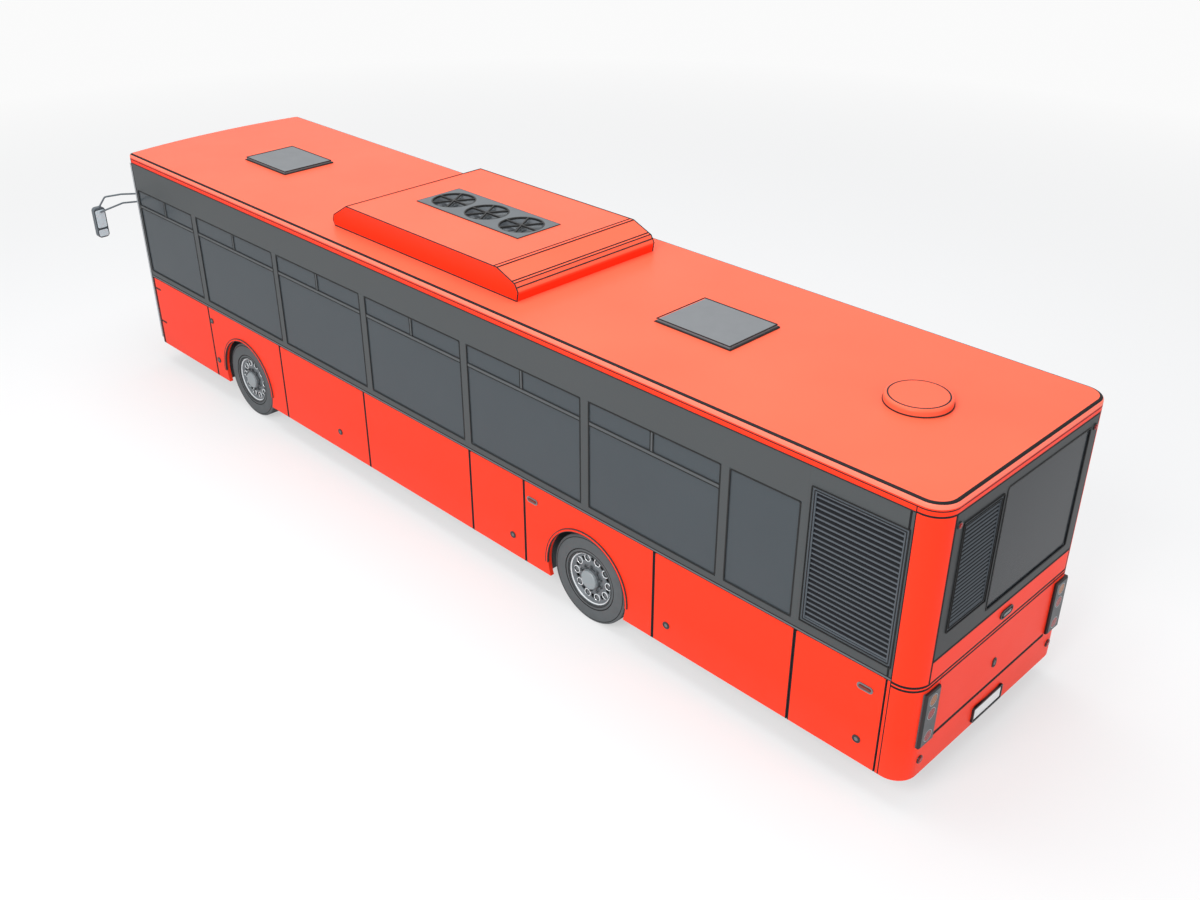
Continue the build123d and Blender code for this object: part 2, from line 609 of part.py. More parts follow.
# ------------------------------------------------------------------ floor and chassis
def plate(s0, s1, y0, y1, z0, z1):
    """Block that leaves half a joint's gap on every side."""
    g = SEAT_FIT / 2
    low, high = sorted((y0, y1))
    return block(s0 + g, s1 - g, low + g, high - g, z0 + g, z1 - g)


def floor_plates():
    """Stations, y and heights of every plate of the stepped floor."""
    t = FLOOR_T
    edge = INNER
    house_y = HOUSE_Y - HOUSE_T
    step = DECK_FRONT - STEP_RUN
    mid = (DECK_Z + LOW_FLOOR_Z) / 2
    rear = (REAR_AXLE - REAR_ROOM - HOUSE_T, REAR_AXLE + REAR_ROOM + HOUSE_T)
    front = (FRONT_AXLE - STEER_ROOM - HOUSE_T, FRONT_AXLE + STEER_ROOM + HOUSE_T)
    return [
        (0, SHELF_FRONT, -edge, edge, SHELF_Z - t, SHELF_Z),
        (SHELF_FRONT - t, SHELF_FRONT, -edge, edge, BENCH_Z - t, SHELF_Z - t),
        (SHELF_FRONT, BENCH_FRONT, -edge, edge, BENCH_Z - t, BENCH_Z),
        (BENCH_FRONT - t, BENCH_FRONT, -edge, edge, DECK_Z - t, BENCH_Z - t),
        (BENCH_FRONT, rear[0], -edge, edge, DECK_Z - t, DECK_Z),
        (rear[0], rear[1], -house_y, house_y, DECK_Z - t, DECK_Z),
        (rear[1], step, -edge, edge, DECK_Z - t, DECK_Z),
        (step - t, step, -edge, edge, mid - t, DECK_Z - t),
        (step, DECK_FRONT, -edge, edge, mid - t, mid),
        (DECK_FRONT - t, DECK_FRONT, -edge, edge, LOW_FLOOR_Z - t, mid - t),
        (DECK_FRONT, front[0], -edge, edge, LOW_FLOOR_Z - t, LOW_FLOOR_Z),
        (front[0], front[1], -house_y, house_y, LOW_FLOOR_Z - t, LOW_FLOOR_Z),
        (front[1], OVERALL, -edge, edge, LOW_FLOOR_Z - t, LOW_FLOOR_Z),
        (CAB_REAR, CAB_FRONT, CAB_INNER, edge, CAB_FLOOR_Z - t, CAB_FLOOR_Z),
        (CAB_REAR, CAB_REAR + t, CAB_INNER, edge, LOW_FLOOR_Z, CAB_FLOOR_Z - t),
        (CAB_FRONT - t, CAB_FRONT, CAB_INNER, edge, LOW_FLOOR_Z, CAB_FLOOR_Z - t),
        (CAB_REAR + t, CAB_FRONT - t, CAB_INNER, CAB_INNER + t, LOW_FLOOR_Z, CAB_FLOOR_Z - t),
    ]


def house_plates(side, axle, room, low, slot):
    """Plates of one wheelhouse; a slot lets an axle beam through its inner wall."""
    t = HOUSE_T
    s0, s1 = axle - room - t, axle + room + t
    near, face, edge = side * (HOUSE_Y - t), side * HOUSE_Y, side * INNER
    slot_top = DECK_Z - FLOOR_T if slot else low
    plates = [
        (s0, s1, near, edge, HOUSE_TOP, HOUSE_TOP + t),
        (s0, s1, near, face, slot_top, HOUSE_TOP),
        (s0, s0 + t, face, edge, low, HOUSE_TOP),
        (s1 - t, s1, face, edge, low, HOUSE_TOP),
    ]
    if slot:
        plates.append((s0, axle - slot, near, face, low, slot_top))
        plates.append((axle + slot, s1, near, face, low, slot_top))
    return plates


def build_floor():
    """Stepped floor with the four wheelhouses and the driver's platform, plate by plate."""
    low = LOW_FLOOR_Z - FLOOR_T
    plates = floor_plates()
    for side in (1, -1):
        plates += house_plates(side, REAR_AXLE, REAR_ROOM, low, AXLE_BEAM / 2 + BEAM_ROOM)
        plates += house_plates(side, FRONT_AXLE, STEER_ROOM, low, 0)
    outline = prism(WALL_T + SEAT_FIT, 0, ROOF_UNDER)
    return {"floor": Compound(children=[(plate(*sizes) & outline) for sizes in plates])}


def build_chassis():
    """Underfloor rails, with crossmembers butted between them and outside them."""
    parts = []
    for s0, s1, y, z0, z1 in RAILS:
        near, far = y - RAIL_W / 2, y + RAIL_W / 2
        members = [row for row in CROSSMEMBERS if s0 - RAIL_W <= row[0] <= s1 + RAIL_W]
        for side in (1, -1):
            parts.append(plate(s0, s1, side * near, side * far, z0, z1))
            for s, half, low, high in members:
                parts.append(plate(s - RAIL_W / 2, s + RAIL_W / 2, side * far, side * half, low, high))
        for s, half, low, high in members:
            parts.append(plate(s - RAIL_W / 2, s + RAIL_W / 2, -near, near, low, high))
    return {"chassis": Compound(children=parts + rear_hangers())}


def rear_hangers():
    """Uprights that tie the rear rails to the deck above them."""
    _, _, y, _, top = RAILS[0]
    half = RAIL_W / 2
    posts = []
    for s in HANGER_STATIONS:
        for side in (1, -1):
            posts.append(plate(s - half, s + half, side * (y - half), side * (y + half), top, DECK_Z - FLOOR_T))
    return posts


def build_engine():
    """Engine block, and the inner walls of the tower over it."""
    tower = block(WALL_T + SEAT_FIT, SHELF_FRONT, TOWER_Y, TOWER_Y + TOWER_T, SHELF_Z, ROOF_UNDER)
    tower += block(SHELF_FRONT - TOWER_T, SHELF_FRONT, TOWER_Y, INNER - SEAT_FIT, SHELF_Z, ROOF_UNDER)
    return {"engine": block(*ENGINE), "engine_tower": tower}


# ------------------------------------------------------------------ axles and wheels
def build_front_axle():
    """Dropped front beam with an eye at each end for the kingpins."""
    low, high = FRONT_BEAM_Z
    elbow = HOUSE_Y + 160
    beam = block(FRONT_AXLE - 70, FRONT_AXLE + 70, -elbow, elbow, low, high)
    for side in (1, -1):
        y0, y1 = sorted((side * (elbow - 100), side * elbow))
        beam += block(FRONT_AXLE - 60, FRONT_AXLE + 60, y0, y1, low, EYE_Z[1])
        y0, y1 = sorted((side * (elbow - 40), side * KINGPIN_Y))
        beam += block(FRONT_AXLE - 45, FRONT_AXLE + 45, y0, y1, *EYE_Z)
        beam += rod(FRONT_AXLE, side * KINGPIN_Y, TYRE_R, KINGPIN_R + 33, EYE_Z[1] - EYE_Z[0])
        beam += rod(FRONT_AXLE, side * KINGPIN_Y, TYRE_R, KINGPIN_R, 190)
        y0, y1 = sorted((side * (HOUSE_Y - 250), side * (HOUSE_Y - 110)))
        beam += block(FRONT_AXLE - 60, FRONT_AXLE + 60, y0, y1, high, LOW_FLOOR_Z - FLOOR_T)
    return {"front_axle": beam}


def build_knuckle(side):
    """Forked steering knuckle with its wheel spindle."""
    lug_z = EYE_Z[1] + 1 + LUG_T / 2 - TYRE_R
    fork = None
    for sign in (1, -1):
        lug = rod(FRONT_AXLE, side * KINGPIN_Y, TYRE_R + sign * lug_z, 50, LUG_T)
        y0, y1 = sorted((side * KINGPIN_Y, side * (KINGPIN_Y + 100)))
        z0, z1 = sorted((TYRE_R + sign * (lug_z - LUG_T / 2), TYRE_R + sign * (lug_z + LUG_T / 2)))
        lug += block(FRONT_AXLE - 50, FRONT_AXLE + 50, y0, y1, z0, z1)
        fork = lug if fork is None else fork + lug
    y0, y1 = sorted((side * (KINGPIN_Y + 66), side * (KINGPIN_Y + 100)))
    fork += block(FRONT_AXLE - 50, FRONT_AXLE + 50, y0, y1, TYRE_R - lug_z, TYRE_R + lug_z)
    end = side * (KINGPIN_Y + 90 + SPINDLE_L / 2)
    fork += rod(FRONT_AXLE, end, TYRE_R, SPINDLE_R, SPINDLE_L, "Y")
    fork -= rod(FRONT_AXLE, side * KINGPIN_Y, TYRE_R, KINGPIN_R + PIN_FIT, 400)
    return fork


def build_rear_axle():
    """Portal rear axle: low beam with its drive housing, end boxes and spindles."""
    beam_z = TYRE_R - 115
    half = AXLE_BEAM / 2
    beam = block(REAR_AXLE - half, REAR_AXLE + half, -PORTAL_Y - 10, PORTAL_Y + 10, beam_z - half, beam_z + half)
    beam += rod(REAR_AXLE, PORTAL_Y - 750, beam_z + 30, 160, 260, "Y")
    for side in (1, -1):
        y0, y1 = sorted((side * PORTAL_Y, side * (PORTAL_Y + PORTAL_W)))
        beam += block(REAR_AXLE - 90, REAR_AXLE + 90, y0, y1, beam_z - 90, TYRE_R + 80)
        end = side * (PORTAL_Y + PORTAL_W + REAR_SPINDLE_L / 2 - 10)
        beam += rod(REAR_AXLE, end, TYRE_R, SPINDLE_R, REAR_SPINDLE_L, "Y")
        for s in (REAR_AXLE - 40, REAR_AXLE + 40):
            top = DECK_Z - FLOOR_T
            beam += rod(s, side * (PORTAL_Y - 90), (beam_z + half + top) / 2 - 2, 38, top - beam_z - half + 4)
    beam &= block(REAR_AXLE - 400, REAR_AXLE + 400, -HALF, HALF, 0, DECK_Z - FLOOR_T)
    return {"rear_axle": beam}


def revolve_y(section, station, y, side):
    """Solid of revolution about a wheel's axle from (lateral, radius) points."""
    points = [(side * lateral, radius) for lateral, radius in section]
    face = make_face(Polyline(*points, close=True))
    place = Plane(origin=(X(station), y, TYRE_R), x_dir=(0, 1, 0), z_dir=(1, 0, 0))
    axis = Axis((X(station), y, TYRE_R), (0, 1, 0))
    return revolve(place * face, axis, 360)


def holed_rim(station, y, side):
    """Wheel disc with its ring of hand holes."""
    rim = revolve_y(RIM_SECTION, station, y, side)
    for index in range(HAND_HOLES):
        angle = math.radians(360 / HAND_HOLES * (index + 0.5))
        s = station + HAND_HOLE_PCD * math.cos(angle)
        z = TYRE_R + HAND_HOLE_PCD * math.sin(angle)
        rim -= rod(s, y + side * 90, z, HAND_HOLE_R, 80, "Y")
    return rim


def build_wheels():
    """Tyres and rims of all four wheel stations."""
    pieces = {}
    outer = HALF - TYRE_INBOARD - TYRE_W / 2
    inner = outer - TYRE_W - TWIN_GAP
    for name, side in (("left", 1), ("right", -1)):
        bore = rod(FRONT_AXLE, side * (KINGPIN_Y + 150), TYRE_R, SPINDLE_R + PIN_FIT, 160, "Y")
        pieces["tyre_front_" + name] = revolve_y(TYRE_SECTION, FRONT_AXLE, side * outer, side)
        rim = holed_rim(FRONT_AXLE, side * outer, side)
        hub_end = outer + DISC_BACK + 4
        hub_start = KINGPIN_Y + 100 + PANEL_GAP
        hub = rod(FRONT_AXLE, side * (hub_end + hub_start) / 2, TYRE_R, 90, hub_end - hub_start, "Y")
        pieces["rim_front_" + name] = rim + hub - bore
        tyres = [revolve_y(TYRE_SECTION, REAR_AXLE, side * y, side) for y in (outer, inner)]
        pieces["tyres_rear_" + name] = Compound(children=tyres)
        rim = holed_rim(REAR_AXLE, side * outer, side)
        twin = holed_rim(REAR_AXLE, side * inner, side)
        hub_end = outer + DISC_BACK + 4
        hub_start = PORTAL_Y + PORTAL_W + PANEL_GAP
        hub = rod(REAR_AXLE, side * (hub_end + hub_start) / 2, TYRE_R, 110, hub_end - hub_start, "Y")
        bore_end = PORTAL_Y + PORTAL_W + REAR_SPINDLE_L - 10 + 5
        bore = rod(REAR_AXLE, side * (bore_end - 300), TYRE_R, SPINDLE_R + PIN_FIT, 600, "Y")
        pieces["rims_rear_" + name] = rim + twin + hub - bore
    return pieces


# ------------------------------------------------------------------ cabin


def seat_base(s, y0, y1, z, height, depth=SEAT_DEPTH):
    """Cushion slab on one pedestal."""
    top = z + height
    slab = block(s - depth / 2, s + depth / 2, y0, y1, top - SEAT_CUSHION, top)
    slab = fillet(slab.edges().filter_by(Axis.Z), 40)
    y = (y0 + y1) / 2
    return slab + block(s - LEG_W, s + LEG_W, y - 160, y + 160, z, top - SEAT_CUSHION)


def seat_back(s, y0, y1, z, depth=SEAT_DEPTH, height=BACK_H):
    """Upright back that stands on the cushion's rear edge."""
    s0 = s - depth / 2
    back = block(s0, s0 + BACK_T, y0, y1, z, z + height)
    upper = back.edges().filter_by(Axis.X).group_by(Axis.Z)[-1]
    return fillet(upper, 90)


def build_seats():
    """Passenger seats by pairs, the rear bench and the driver's seat."""
    bases = []
    backs = []
    for s, side, z in SEAT_PAIRS:
        y0, y1 = sorted((side * (INNER - SEAT_WALL_GAP), side * (INNER - SEAT_WALL_GAP - SEAT_PAIR_W)))
        height = SEAT_HEIGHT
        if z > DECK_Z:
            z, height = HOUSE_TOP + HOUSE_T, 130.0
        bases.append(seat_base(s, y0, y1, z, height))
        backs.append(seat_back(s, y0, y1, z + height))
    bench_y = INNER - SEAT_WALL_GAP
    middle = BENCH_FRONT - SEAT_DEPTH / 2 + 20
    bases.append(block(middle - SEAT_DEPTH / 2, middle + SEAT_DEPTH / 2, -bench_y, bench_y, BENCH_Z, BENCH_Z + 100))
    backs.append(seat_back(middle, -bench_y, bench_y, BENCH_Z + 100))
    s, y, width, height = DRIVER_SEAT
    bases.append(seat_base(s, y - width / 2, y + width / 2, CAB_FLOOR_Z, height, 460))
    backs.append(seat_back(s, y - width / 2, y + width / 2, CAB_FLOOR_Z + height, 460, 780))
    return {"seat_bases": Compound(children=bases), "seat_backs": Compound(children=backs)}


def build_cabin():
    """Handrail poles, the driver's dashboard, column and screen, and the steering wheel."""
    poles = []
    for s, y, z in POLES:
        poles.append(rod(s, y, (z + ROOF_UNDER) / 2, POLE_R, ROOF_UNDER - z))
    s0 = CAB_FRONT + 60
    s1 = s0 + DASH_DEPTH
    top = CAB_FLOOR_Z + 530
    profile = [(s0, CAB_FLOOR_Z), (s0, top - 190), (s0 - 80, top - 100), (s0 - 20, top), (s1, top), (s1, CAB_FLOOR_Z)]
    face = make_face(Polyline(*[(X(s), z) for s, z in profile], close=True))
    dash = Pos(0, DRIVER_Y, 0) * extrude(Plane.XZ * face, DASH_HALF, both=True)
    dash += block(s0, s1, DASH_END, DRIVER_Y + DASH_HALF, LOW_FLOOR_Z, CAB_FLOOR_Z + 60)
    s, y, z = WHEEL_CENTRE
    place = Pos(X(s), y, z) * Rot(0, -WHEEL_TILT, 0)
    column = place * Pos(0, 0, -20 - 330 / 2) * Cylinder(35, 330)
    dash += column
    dash += place * Pos(150, 0, -240) * Box(340, 70, 70)
    screen = block(CAB_REAR, CAB_REAR + 30, CAB_INNER, INNER - SEAT_FIT, CAB_FLOOR_Z, 2100)
    rim = place * Torus(WHEEL_R, WHEEL_TUBE)
    for angle in (90, 210, 330):
        spoke = Rot(0, 0, angle) * Pos(WHEEL_R / 2, 0, -4) * Box(WHEEL_R, 30, 10)
        rim += place * spoke
    rim += place * Pos(0, 0, -9) * Cylinder(60, 21)
    return {"handrails": Compound(children=poles), "cab_fittings": Compound(children=[dash, screen]),
            "steering_wheel": rim}


# ------------------------------------------------------------------ doors
def door_levels():
    """Bottom and top of a leaf, below its arms and above them."""
    low = LOW_FLOOR_Z + ARM_GAP + ARM_T + ARM_GAP
    high = DOOR_TOP - ARM_GAP - ARM_T - ARM_GAP
    return low, high


def build_post(hinge_s, toward, arm):
    """Turning door post with an arm above and below the leaf."""
    y = -(HALF - LEAF_T / 2)
    low, high = door_levels()
    length = DOOR_TOP - LOW_FLOOR_Z - 2 * SEAT_FIT
    post = rod(hinge_s, y, (DOOR_TOP + LOW_FLOOR_Z) / 2, POST_R, length)
    for z0 in (low - ARM_GAP - ARM_T, high + ARM_GAP):
        s0, s1 = sorted((hinge_s, hinge_s + toward * arm))
        post += block(s0, s1, y - ARM_W / 2, y + ARM_W / 2, z0, z0 + ARM_T)
        post += rod(hinge_s + toward * arm, y, z0 + ARM_T / 2, ARM_W / 2, ARM_T)
        post -= rod(hinge_s + toward * arm, y, z0 + ARM_T / 2, PIVOT_R + PIN_FIT, ARM_T * 2)
    return post


def build_leaf(hinge_s, toward, arm):
    """Door leaf with its window cut and a pivot pin at each end, and its pane."""
    low, high = door_levels()
    s0, s1 = sorted((hinge_s + toward * LEAF_NEAR, hinge_s + toward * (2 * arm - LEAF_FAR)))
    leaf = block(s0, s1, -HALF, -HALF + LEAF_T, low, high)
    window = (s0 + STILE, s1 - STILE, low + 2.4 * STILE, high - STILE)
    leaf -= block(window[0], window[1], -HALF - 1, -HALF + LEAF_T + 1, window[2], window[3])
    y = -(HALF - LEAF_T / 2)
    pin_l = ARM_GAP + ARM_T - 1
    for z in (low - pin_l / 2, high + pin_l / 2):
        leaf += rod(hinge_s + toward * arm, y, z, PIVOT_R, pin_l)
    pane = block(window[0], window[1], -HALF + 10, -HALF + 20, window[2], window[3])
    return leaf, pane


def build_doors():
    """Inward-gliding double doors: each leaf hangs by its middle from the arms of a post."""
    pieces = {}
    for name, s0, s1 in DOORWAYS:
        arm = ((s1 - s0) / 2 - POST_INSET) / 2
        for part, hinge_s, toward in (("a", s0 + POST_INSET, 1), ("b", s1 - POST_INSET, -1)):
            pieces["door_%s_post_%s" % (name, part)] = build_post(hinge_s, toward, arm)
            leaf, pane = build_leaf(hinge_s, toward, arm)
            pieces["door_%s_leaf_%s" % (name, part)] = leaf
            pieces["door_%s_pane_%s" % (name, part)] = pane
    return pieces


# ------------------------------------------------------------------ mirrors


def arm_tube(points, side):
    """Bent tube through points, with its corners rounded."""
    places = [(X(SIDE_LENGTH + lead), side * (HALF + out), z) for lead, out, z in points]
    path = FilletPolyline(*places, radius=40)
    return sweep(Plane(origin=path @ 0, z_dir=path % 0) * Circle(ARM_R), path)


def build_mirrors():
    """Both outside mirrors on their two arms."""
    parts = []
    front = SIDE_LENGTH + FRONT_BOW + MIRROR_LEAD
    shell = prism(0, SKIRT_Z, ROOF_Z)
    y_in, y_out, z0, z1, depth = MIRROR_HEAD
    for side in (1, -1):
        y0, y1 = sorted((side * y_in, side * y_out))
        head = block(front - depth, front, y0, y1, z0, z1)
        head = fillet(head.edges().filter_by(Axis.X), 45)
        arms = arm_tube(UPPER_ARM, side) + arm_tube(LOWER_ARM, side)
        parts.append(head + (arms - shell))
    return {"mirrors": Compound(children=parts)}


def build_bus():
    """All named pieces of the bus."""
    pieces = {}
    pieces.update(build_left_wall())
    pieces.update(build_right_wall())
    pieces.update(build_side_glass())
    pieces.update(build_rear_mask())
    pieces.update(build_front_mask())
    pieces.update(build_roof())
    pieces.update(build_grilles())
    pieces.update(build_lamps())
    pieces.update(build_air_unit())
    pieces.update(build_floor())
    pieces.update(build_chassis())
    pieces.update(build_engine())
    pieces.update(build_front_axle())
    pieces.update({"knuckle_left": build_knuckle(1), "knuckle_right": build_knuckle(-1)})
    pieces.update(build_rear_axle())
    pieces.update(build_wheels())
    pieces.update(build_seats())
    pieces.update(build_cabin())
    pieces.update(build_doors())
    pieces.update(build_mirrors())
    return pieces


if __name__ == "__main__":
    os.makedirs("parts", exist_ok=True)
    for node, shape in build_bus().items():
        export_step(shape, "parts/%s.step" % node)
        print(node, round(shape.volume / 1e6, 1), "litres")
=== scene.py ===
"""Finishes and fine pieces of a full-size low-entry city bus.

Frame: +X forward, +Y the bus's left, +Z up, metres, the ground at z = 0. A station is a
distance ahead of the rear face, as a coach builder measures along the body.
"""
from __future__ import annotations

import logging
import math
from dataclasses import dataclass, field
from enum import Enum
from typing import Callable, Iterable, Sequence

import bpy
from mathutils import Matrix, Vector


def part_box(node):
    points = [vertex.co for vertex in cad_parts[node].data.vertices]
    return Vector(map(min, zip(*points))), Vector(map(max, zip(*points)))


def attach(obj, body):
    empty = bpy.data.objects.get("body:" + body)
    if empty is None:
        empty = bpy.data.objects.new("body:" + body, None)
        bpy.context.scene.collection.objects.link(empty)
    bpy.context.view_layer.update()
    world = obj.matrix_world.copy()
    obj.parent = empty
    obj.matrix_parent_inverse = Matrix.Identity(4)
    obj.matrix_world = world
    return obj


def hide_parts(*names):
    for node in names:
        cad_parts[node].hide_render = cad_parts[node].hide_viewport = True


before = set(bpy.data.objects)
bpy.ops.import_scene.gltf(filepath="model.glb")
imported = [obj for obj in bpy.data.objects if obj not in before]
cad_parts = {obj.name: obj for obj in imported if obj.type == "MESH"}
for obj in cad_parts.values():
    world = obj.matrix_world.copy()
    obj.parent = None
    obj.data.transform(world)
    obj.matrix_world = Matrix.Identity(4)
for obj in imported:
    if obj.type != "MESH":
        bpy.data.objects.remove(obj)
log = logging.getLogger("bus")

Point = tuple[float, float, float]
Colour = tuple[float, float, float, float]
Section = Sequence[tuple[float, float]]
Piece = bpy.types.Object
Material = bpy.types.Material

ORIGIN_STATION = 6.100          # station of the frame's origin
HALF_WIDTH = 1.275              # y of the left wall's outer face
AXLE_HEIGHT = 0.485
REAR_AXLE, FRONT_AXLE = 3.625, 9.745        # stations
BAND_LOW, BAND_HIGH = 1.268, 2.833          # z of the grey window band
EAVES = 2.8885                  # z of the joint under the roof
SIDES = ((1, "left"), (-1, "right"))
AXES = {"X": Vector((1, 0, 0)), "Y": Vector((0, 1, 0)), "Z": Vector((0, 0, 1))}


def at(station: float) -> float:
    """Frame x of a station."""
    return station - ORIGIN_STATION


# --------------------------------------------------------------------------- shader bench
def maths(operation: str, reflected: bool = False) -> Callable[..., "Wire"]:
    """Makes a method of Wire that adds one Math node.

    Args:
        operation: the Math node's operation.
        reflected: whether the other value comes first, as in 1 - mask.

    Returns:
        The method.
    """
    def method(wire: "Wire", *others: "Wire | float") -> "Wire":
        """Adds the node with the wire and the other value as its inputs."""
        values = (*others, wire) if reflected else (wire, *others)
        return wire.recipe.node("ShaderNodeMath", {"operation": operation}, dict(enumerate(values)))

    return method


class Wire:
    """A shader socket that takes part in arithmetic."""

    __add__, __radd__ = maths("ADD"), maths("ADD", True)
    __sub__, __rsub__ = maths("SUBTRACT"), maths("SUBTRACT", True)
    __mul__, __rmul__ = maths("MULTIPLY"), maths("MULTIPLY", True)
    __truediv__, repeat = maths("DIVIDE"), maths("FLOORED_MODULO")
    __gt__, __lt__ = maths("GREATER_THAN"), maths("LESS_THAN")
    largest, smallest = maths("MAXIMUM"), maths("MINIMUM")
    size, root = maths("ABSOLUTE"), maths("SQRT")

    def __init__(self, recipe: "Recipe", socket: bpy.types.NodeSocket) -> None:
        """Keeps the recipe that the socket belongs to."""
        self.recipe = recipe
        self.socket = socket

    def held(self) -> "Wire":
        """Kept between nought and one."""
        return self.largest(0.0).smallest(1.0)

    def within(self, low: float, high: float) -> "Wire":
        """One between two values, else nought."""
        return (self > low) * (self < high)

    def near(self, value: float, reach: float) -> "Wire":
        """One within a reach of a value, else nought."""
        return (self - value).size() < reach


class Recipe:
    """Builds one node material by expressions."""

    def __init__(self, name: str) -> None:
        """Starts an empty material with one Principled shader.

        Args:
            name: the material's name.
        """
        self.material = bpy.data.materials.new(name)
        self.material.use_nodes = True
        self.tree = self.material.node_tree
        self.tree.nodes.clear()
        self.shader = self.tree.nodes.new("ShaderNodeBsdfPrincipled")
        self.out = self.tree.nodes.new("ShaderNodeOutputMaterial")
        self.tree.links.new(self.shader.outputs[0], self.out.inputs[0])

    def node(self, kind: str, settings: dict[str, object], inputs: dict[int | str, object],
             output: int | str = 0) -> Wire:
        """Adds any node.

        Args:
            kind: the node's type.
            settings: its own settings, set first.
            inputs: wires or values by socket name or index.
            output: which output is wanted.

        Returns:
            That output as a wire.
        """
        made = self.tree.nodes.new(kind)
        for key, value in settings.items():
            setattr(made, key, value)
        for key, value in inputs.items():
            if isinstance(value, Wire):
                self.tree.links.new(value.socket, made.inputs[key])
            else:
                made.inputs[key].default_value = value
        return Wire(self, made.outputs[output])

    def where(self) -> Wire:
        """Object coordinates as one vector."""
        return self.node("ShaderNodeTexCoord", {}, {}, "Object")

    def place(self) -> tuple[Wire, Wire, Wire]:
        """Object coordinates as three wires."""
        split = self.node("ShaderNodeSeparateXYZ", {}, {0: self.where()})
        return tuple(Wire(self, socket) for socket in split.socket.node.outputs)

    def noise(self, scale: float, detail: float = 3.0, rough: float = 0.5,
              stretch: Point = (1.0, 1.0, 1.0)) -> Wire:
        """Noise on object coordinates.

        Args:
            scale: lumps per metre.
            detail: octaves.
            rough: how much the fine octaves weigh.
            stretch: scale of each axis.

        Returns:
            The noise's factor.
        """
        spread = self.node("ShaderNodeMapping", {}, {"Vector": self.where(), "Scale": stretch})
        settings = {"Vector": spread, "Scale": scale, "Detail": detail, "Roughness": rough}
        return self.node("ShaderNodeTexNoise", {}, settings, "Fac")

    def blend(self, factor: Wire | float, first: object, second: object) -> Wire:
        """Mixes two colours."""
        return self.node("ShaderNodeMix", {"data_type": "RGBA"}, {0: factor, 6: first, 7: second}, 2)

    def mottled(self, colour: Colour, factor: Wire | float, share: float) -> Wire:
        """A colour that varies down to a share of its own light."""
        return self.blend(factor, colour, tuple(part * share for part in colour[:3]) + (1.0,))

    def raised(self, height: Wire, distance: float) -> Wire:
        """A normal raised by a height from nought to one, which stands for a distance in metres."""
        settings = {"Height": height, "Distance": distance, "Strength": 1.0}
        return self.node("ShaderNodeBump", {}, settings, "Normal")

    def done(self, **sockets: Wire | float) -> Material:
        """Fills the shader's sockets and hands over the material.

        Args:
            sockets: wires to link and constants to set, with underscores for the spaces in their names.

        Returns:
            The finished material.
        """
        for name, value in sockets.items():
            socket = self.shader.inputs[name.replace("_", " ")]
            if isinstance(value, Wire):
                self.tree.links.new(value.socket, socket)
            else:
                socket.default_value = value
        return self.material


def screen_colour(red: int, green: int, blue: int) -> Colour:
    """Linear colour of a screen colour given in 0 to 255."""
    return tuple((v / 255 / 12.92) if v <= 10 else ((v / 255 + 0.055) / 1.055) ** 2.4
                 for v in (red, green, blue)) + (1.0,)


RAIL_YELLOW = screen_colour(236, 186, 30)
PLATE_WHITE = screen_colour(226, 228, 228)


# --------------------------------------------------------------------------- finishes
class Livery(Enum):
    """Where the grey window band lies on a painted piece."""

    PLAIN = "plain"
    SIDES = "sides"
    REAR = "rear"
    FRONT = "front"
    ROOF = "roof"
    AIR_UNIT = "air_unit"
    ENGINE_DOOR = "engine_door"


@dataclass(frozen=True)
class Joint:
    """A dark joint between two painted panels, at a place along an axis."""

    along: str
    place: float
    half: float = 0.009
    low: float | None = None
    high: float = BAND_LOW
    reach: float | None = None


def upright(station: float, high: float = BAND_LOW, half: float = 0.017) -> Joint:
    """An upright joint on a side, at a station."""
    return Joint("x", at(station), half, 0.0, high)


JOINTS: dict[Livery, tuple[Joint, ...]] = {
    Livery.SIDES: (
        upright(0.226, 2.9, 0.010), upright(0.268, BAND_HIGH, 0.010), upright(1.160), upright(2.740),
        upright(4.495), upright(5.328), upright(7.167), upright(8.872), upright(10.532), upright(11.945),
        Joint("z", EAVES)),
    Livery.REAR: (
        Joint("z", 1.267, 0.012), Joint("z", 1.231, 0.011), Joint("z", 0.628, 0.012, reach=0.93),
        Joint("z", 2.836), Joint("z", EAVES), Joint("z", 1.488, 0.014, reach=1.10),
        Joint("y", 1.098, 0.010, 1.264, 2.836), Joint("y", -1.098, 0.010, 1.264, 2.836)),
    Livery.FRONT: (Joint("z", 0.640), Joint("z", 1.118), Joint("z", EAVES), upright(11.974, 2.885, 0.013)),
    Livery.ENGINE_DOOR: (Joint("z", 1.228, 0.011), Joint("z", 0.645, 0.009)),
    Livery.ROOF: (Joint("z", 2.944, 0.006),),
}


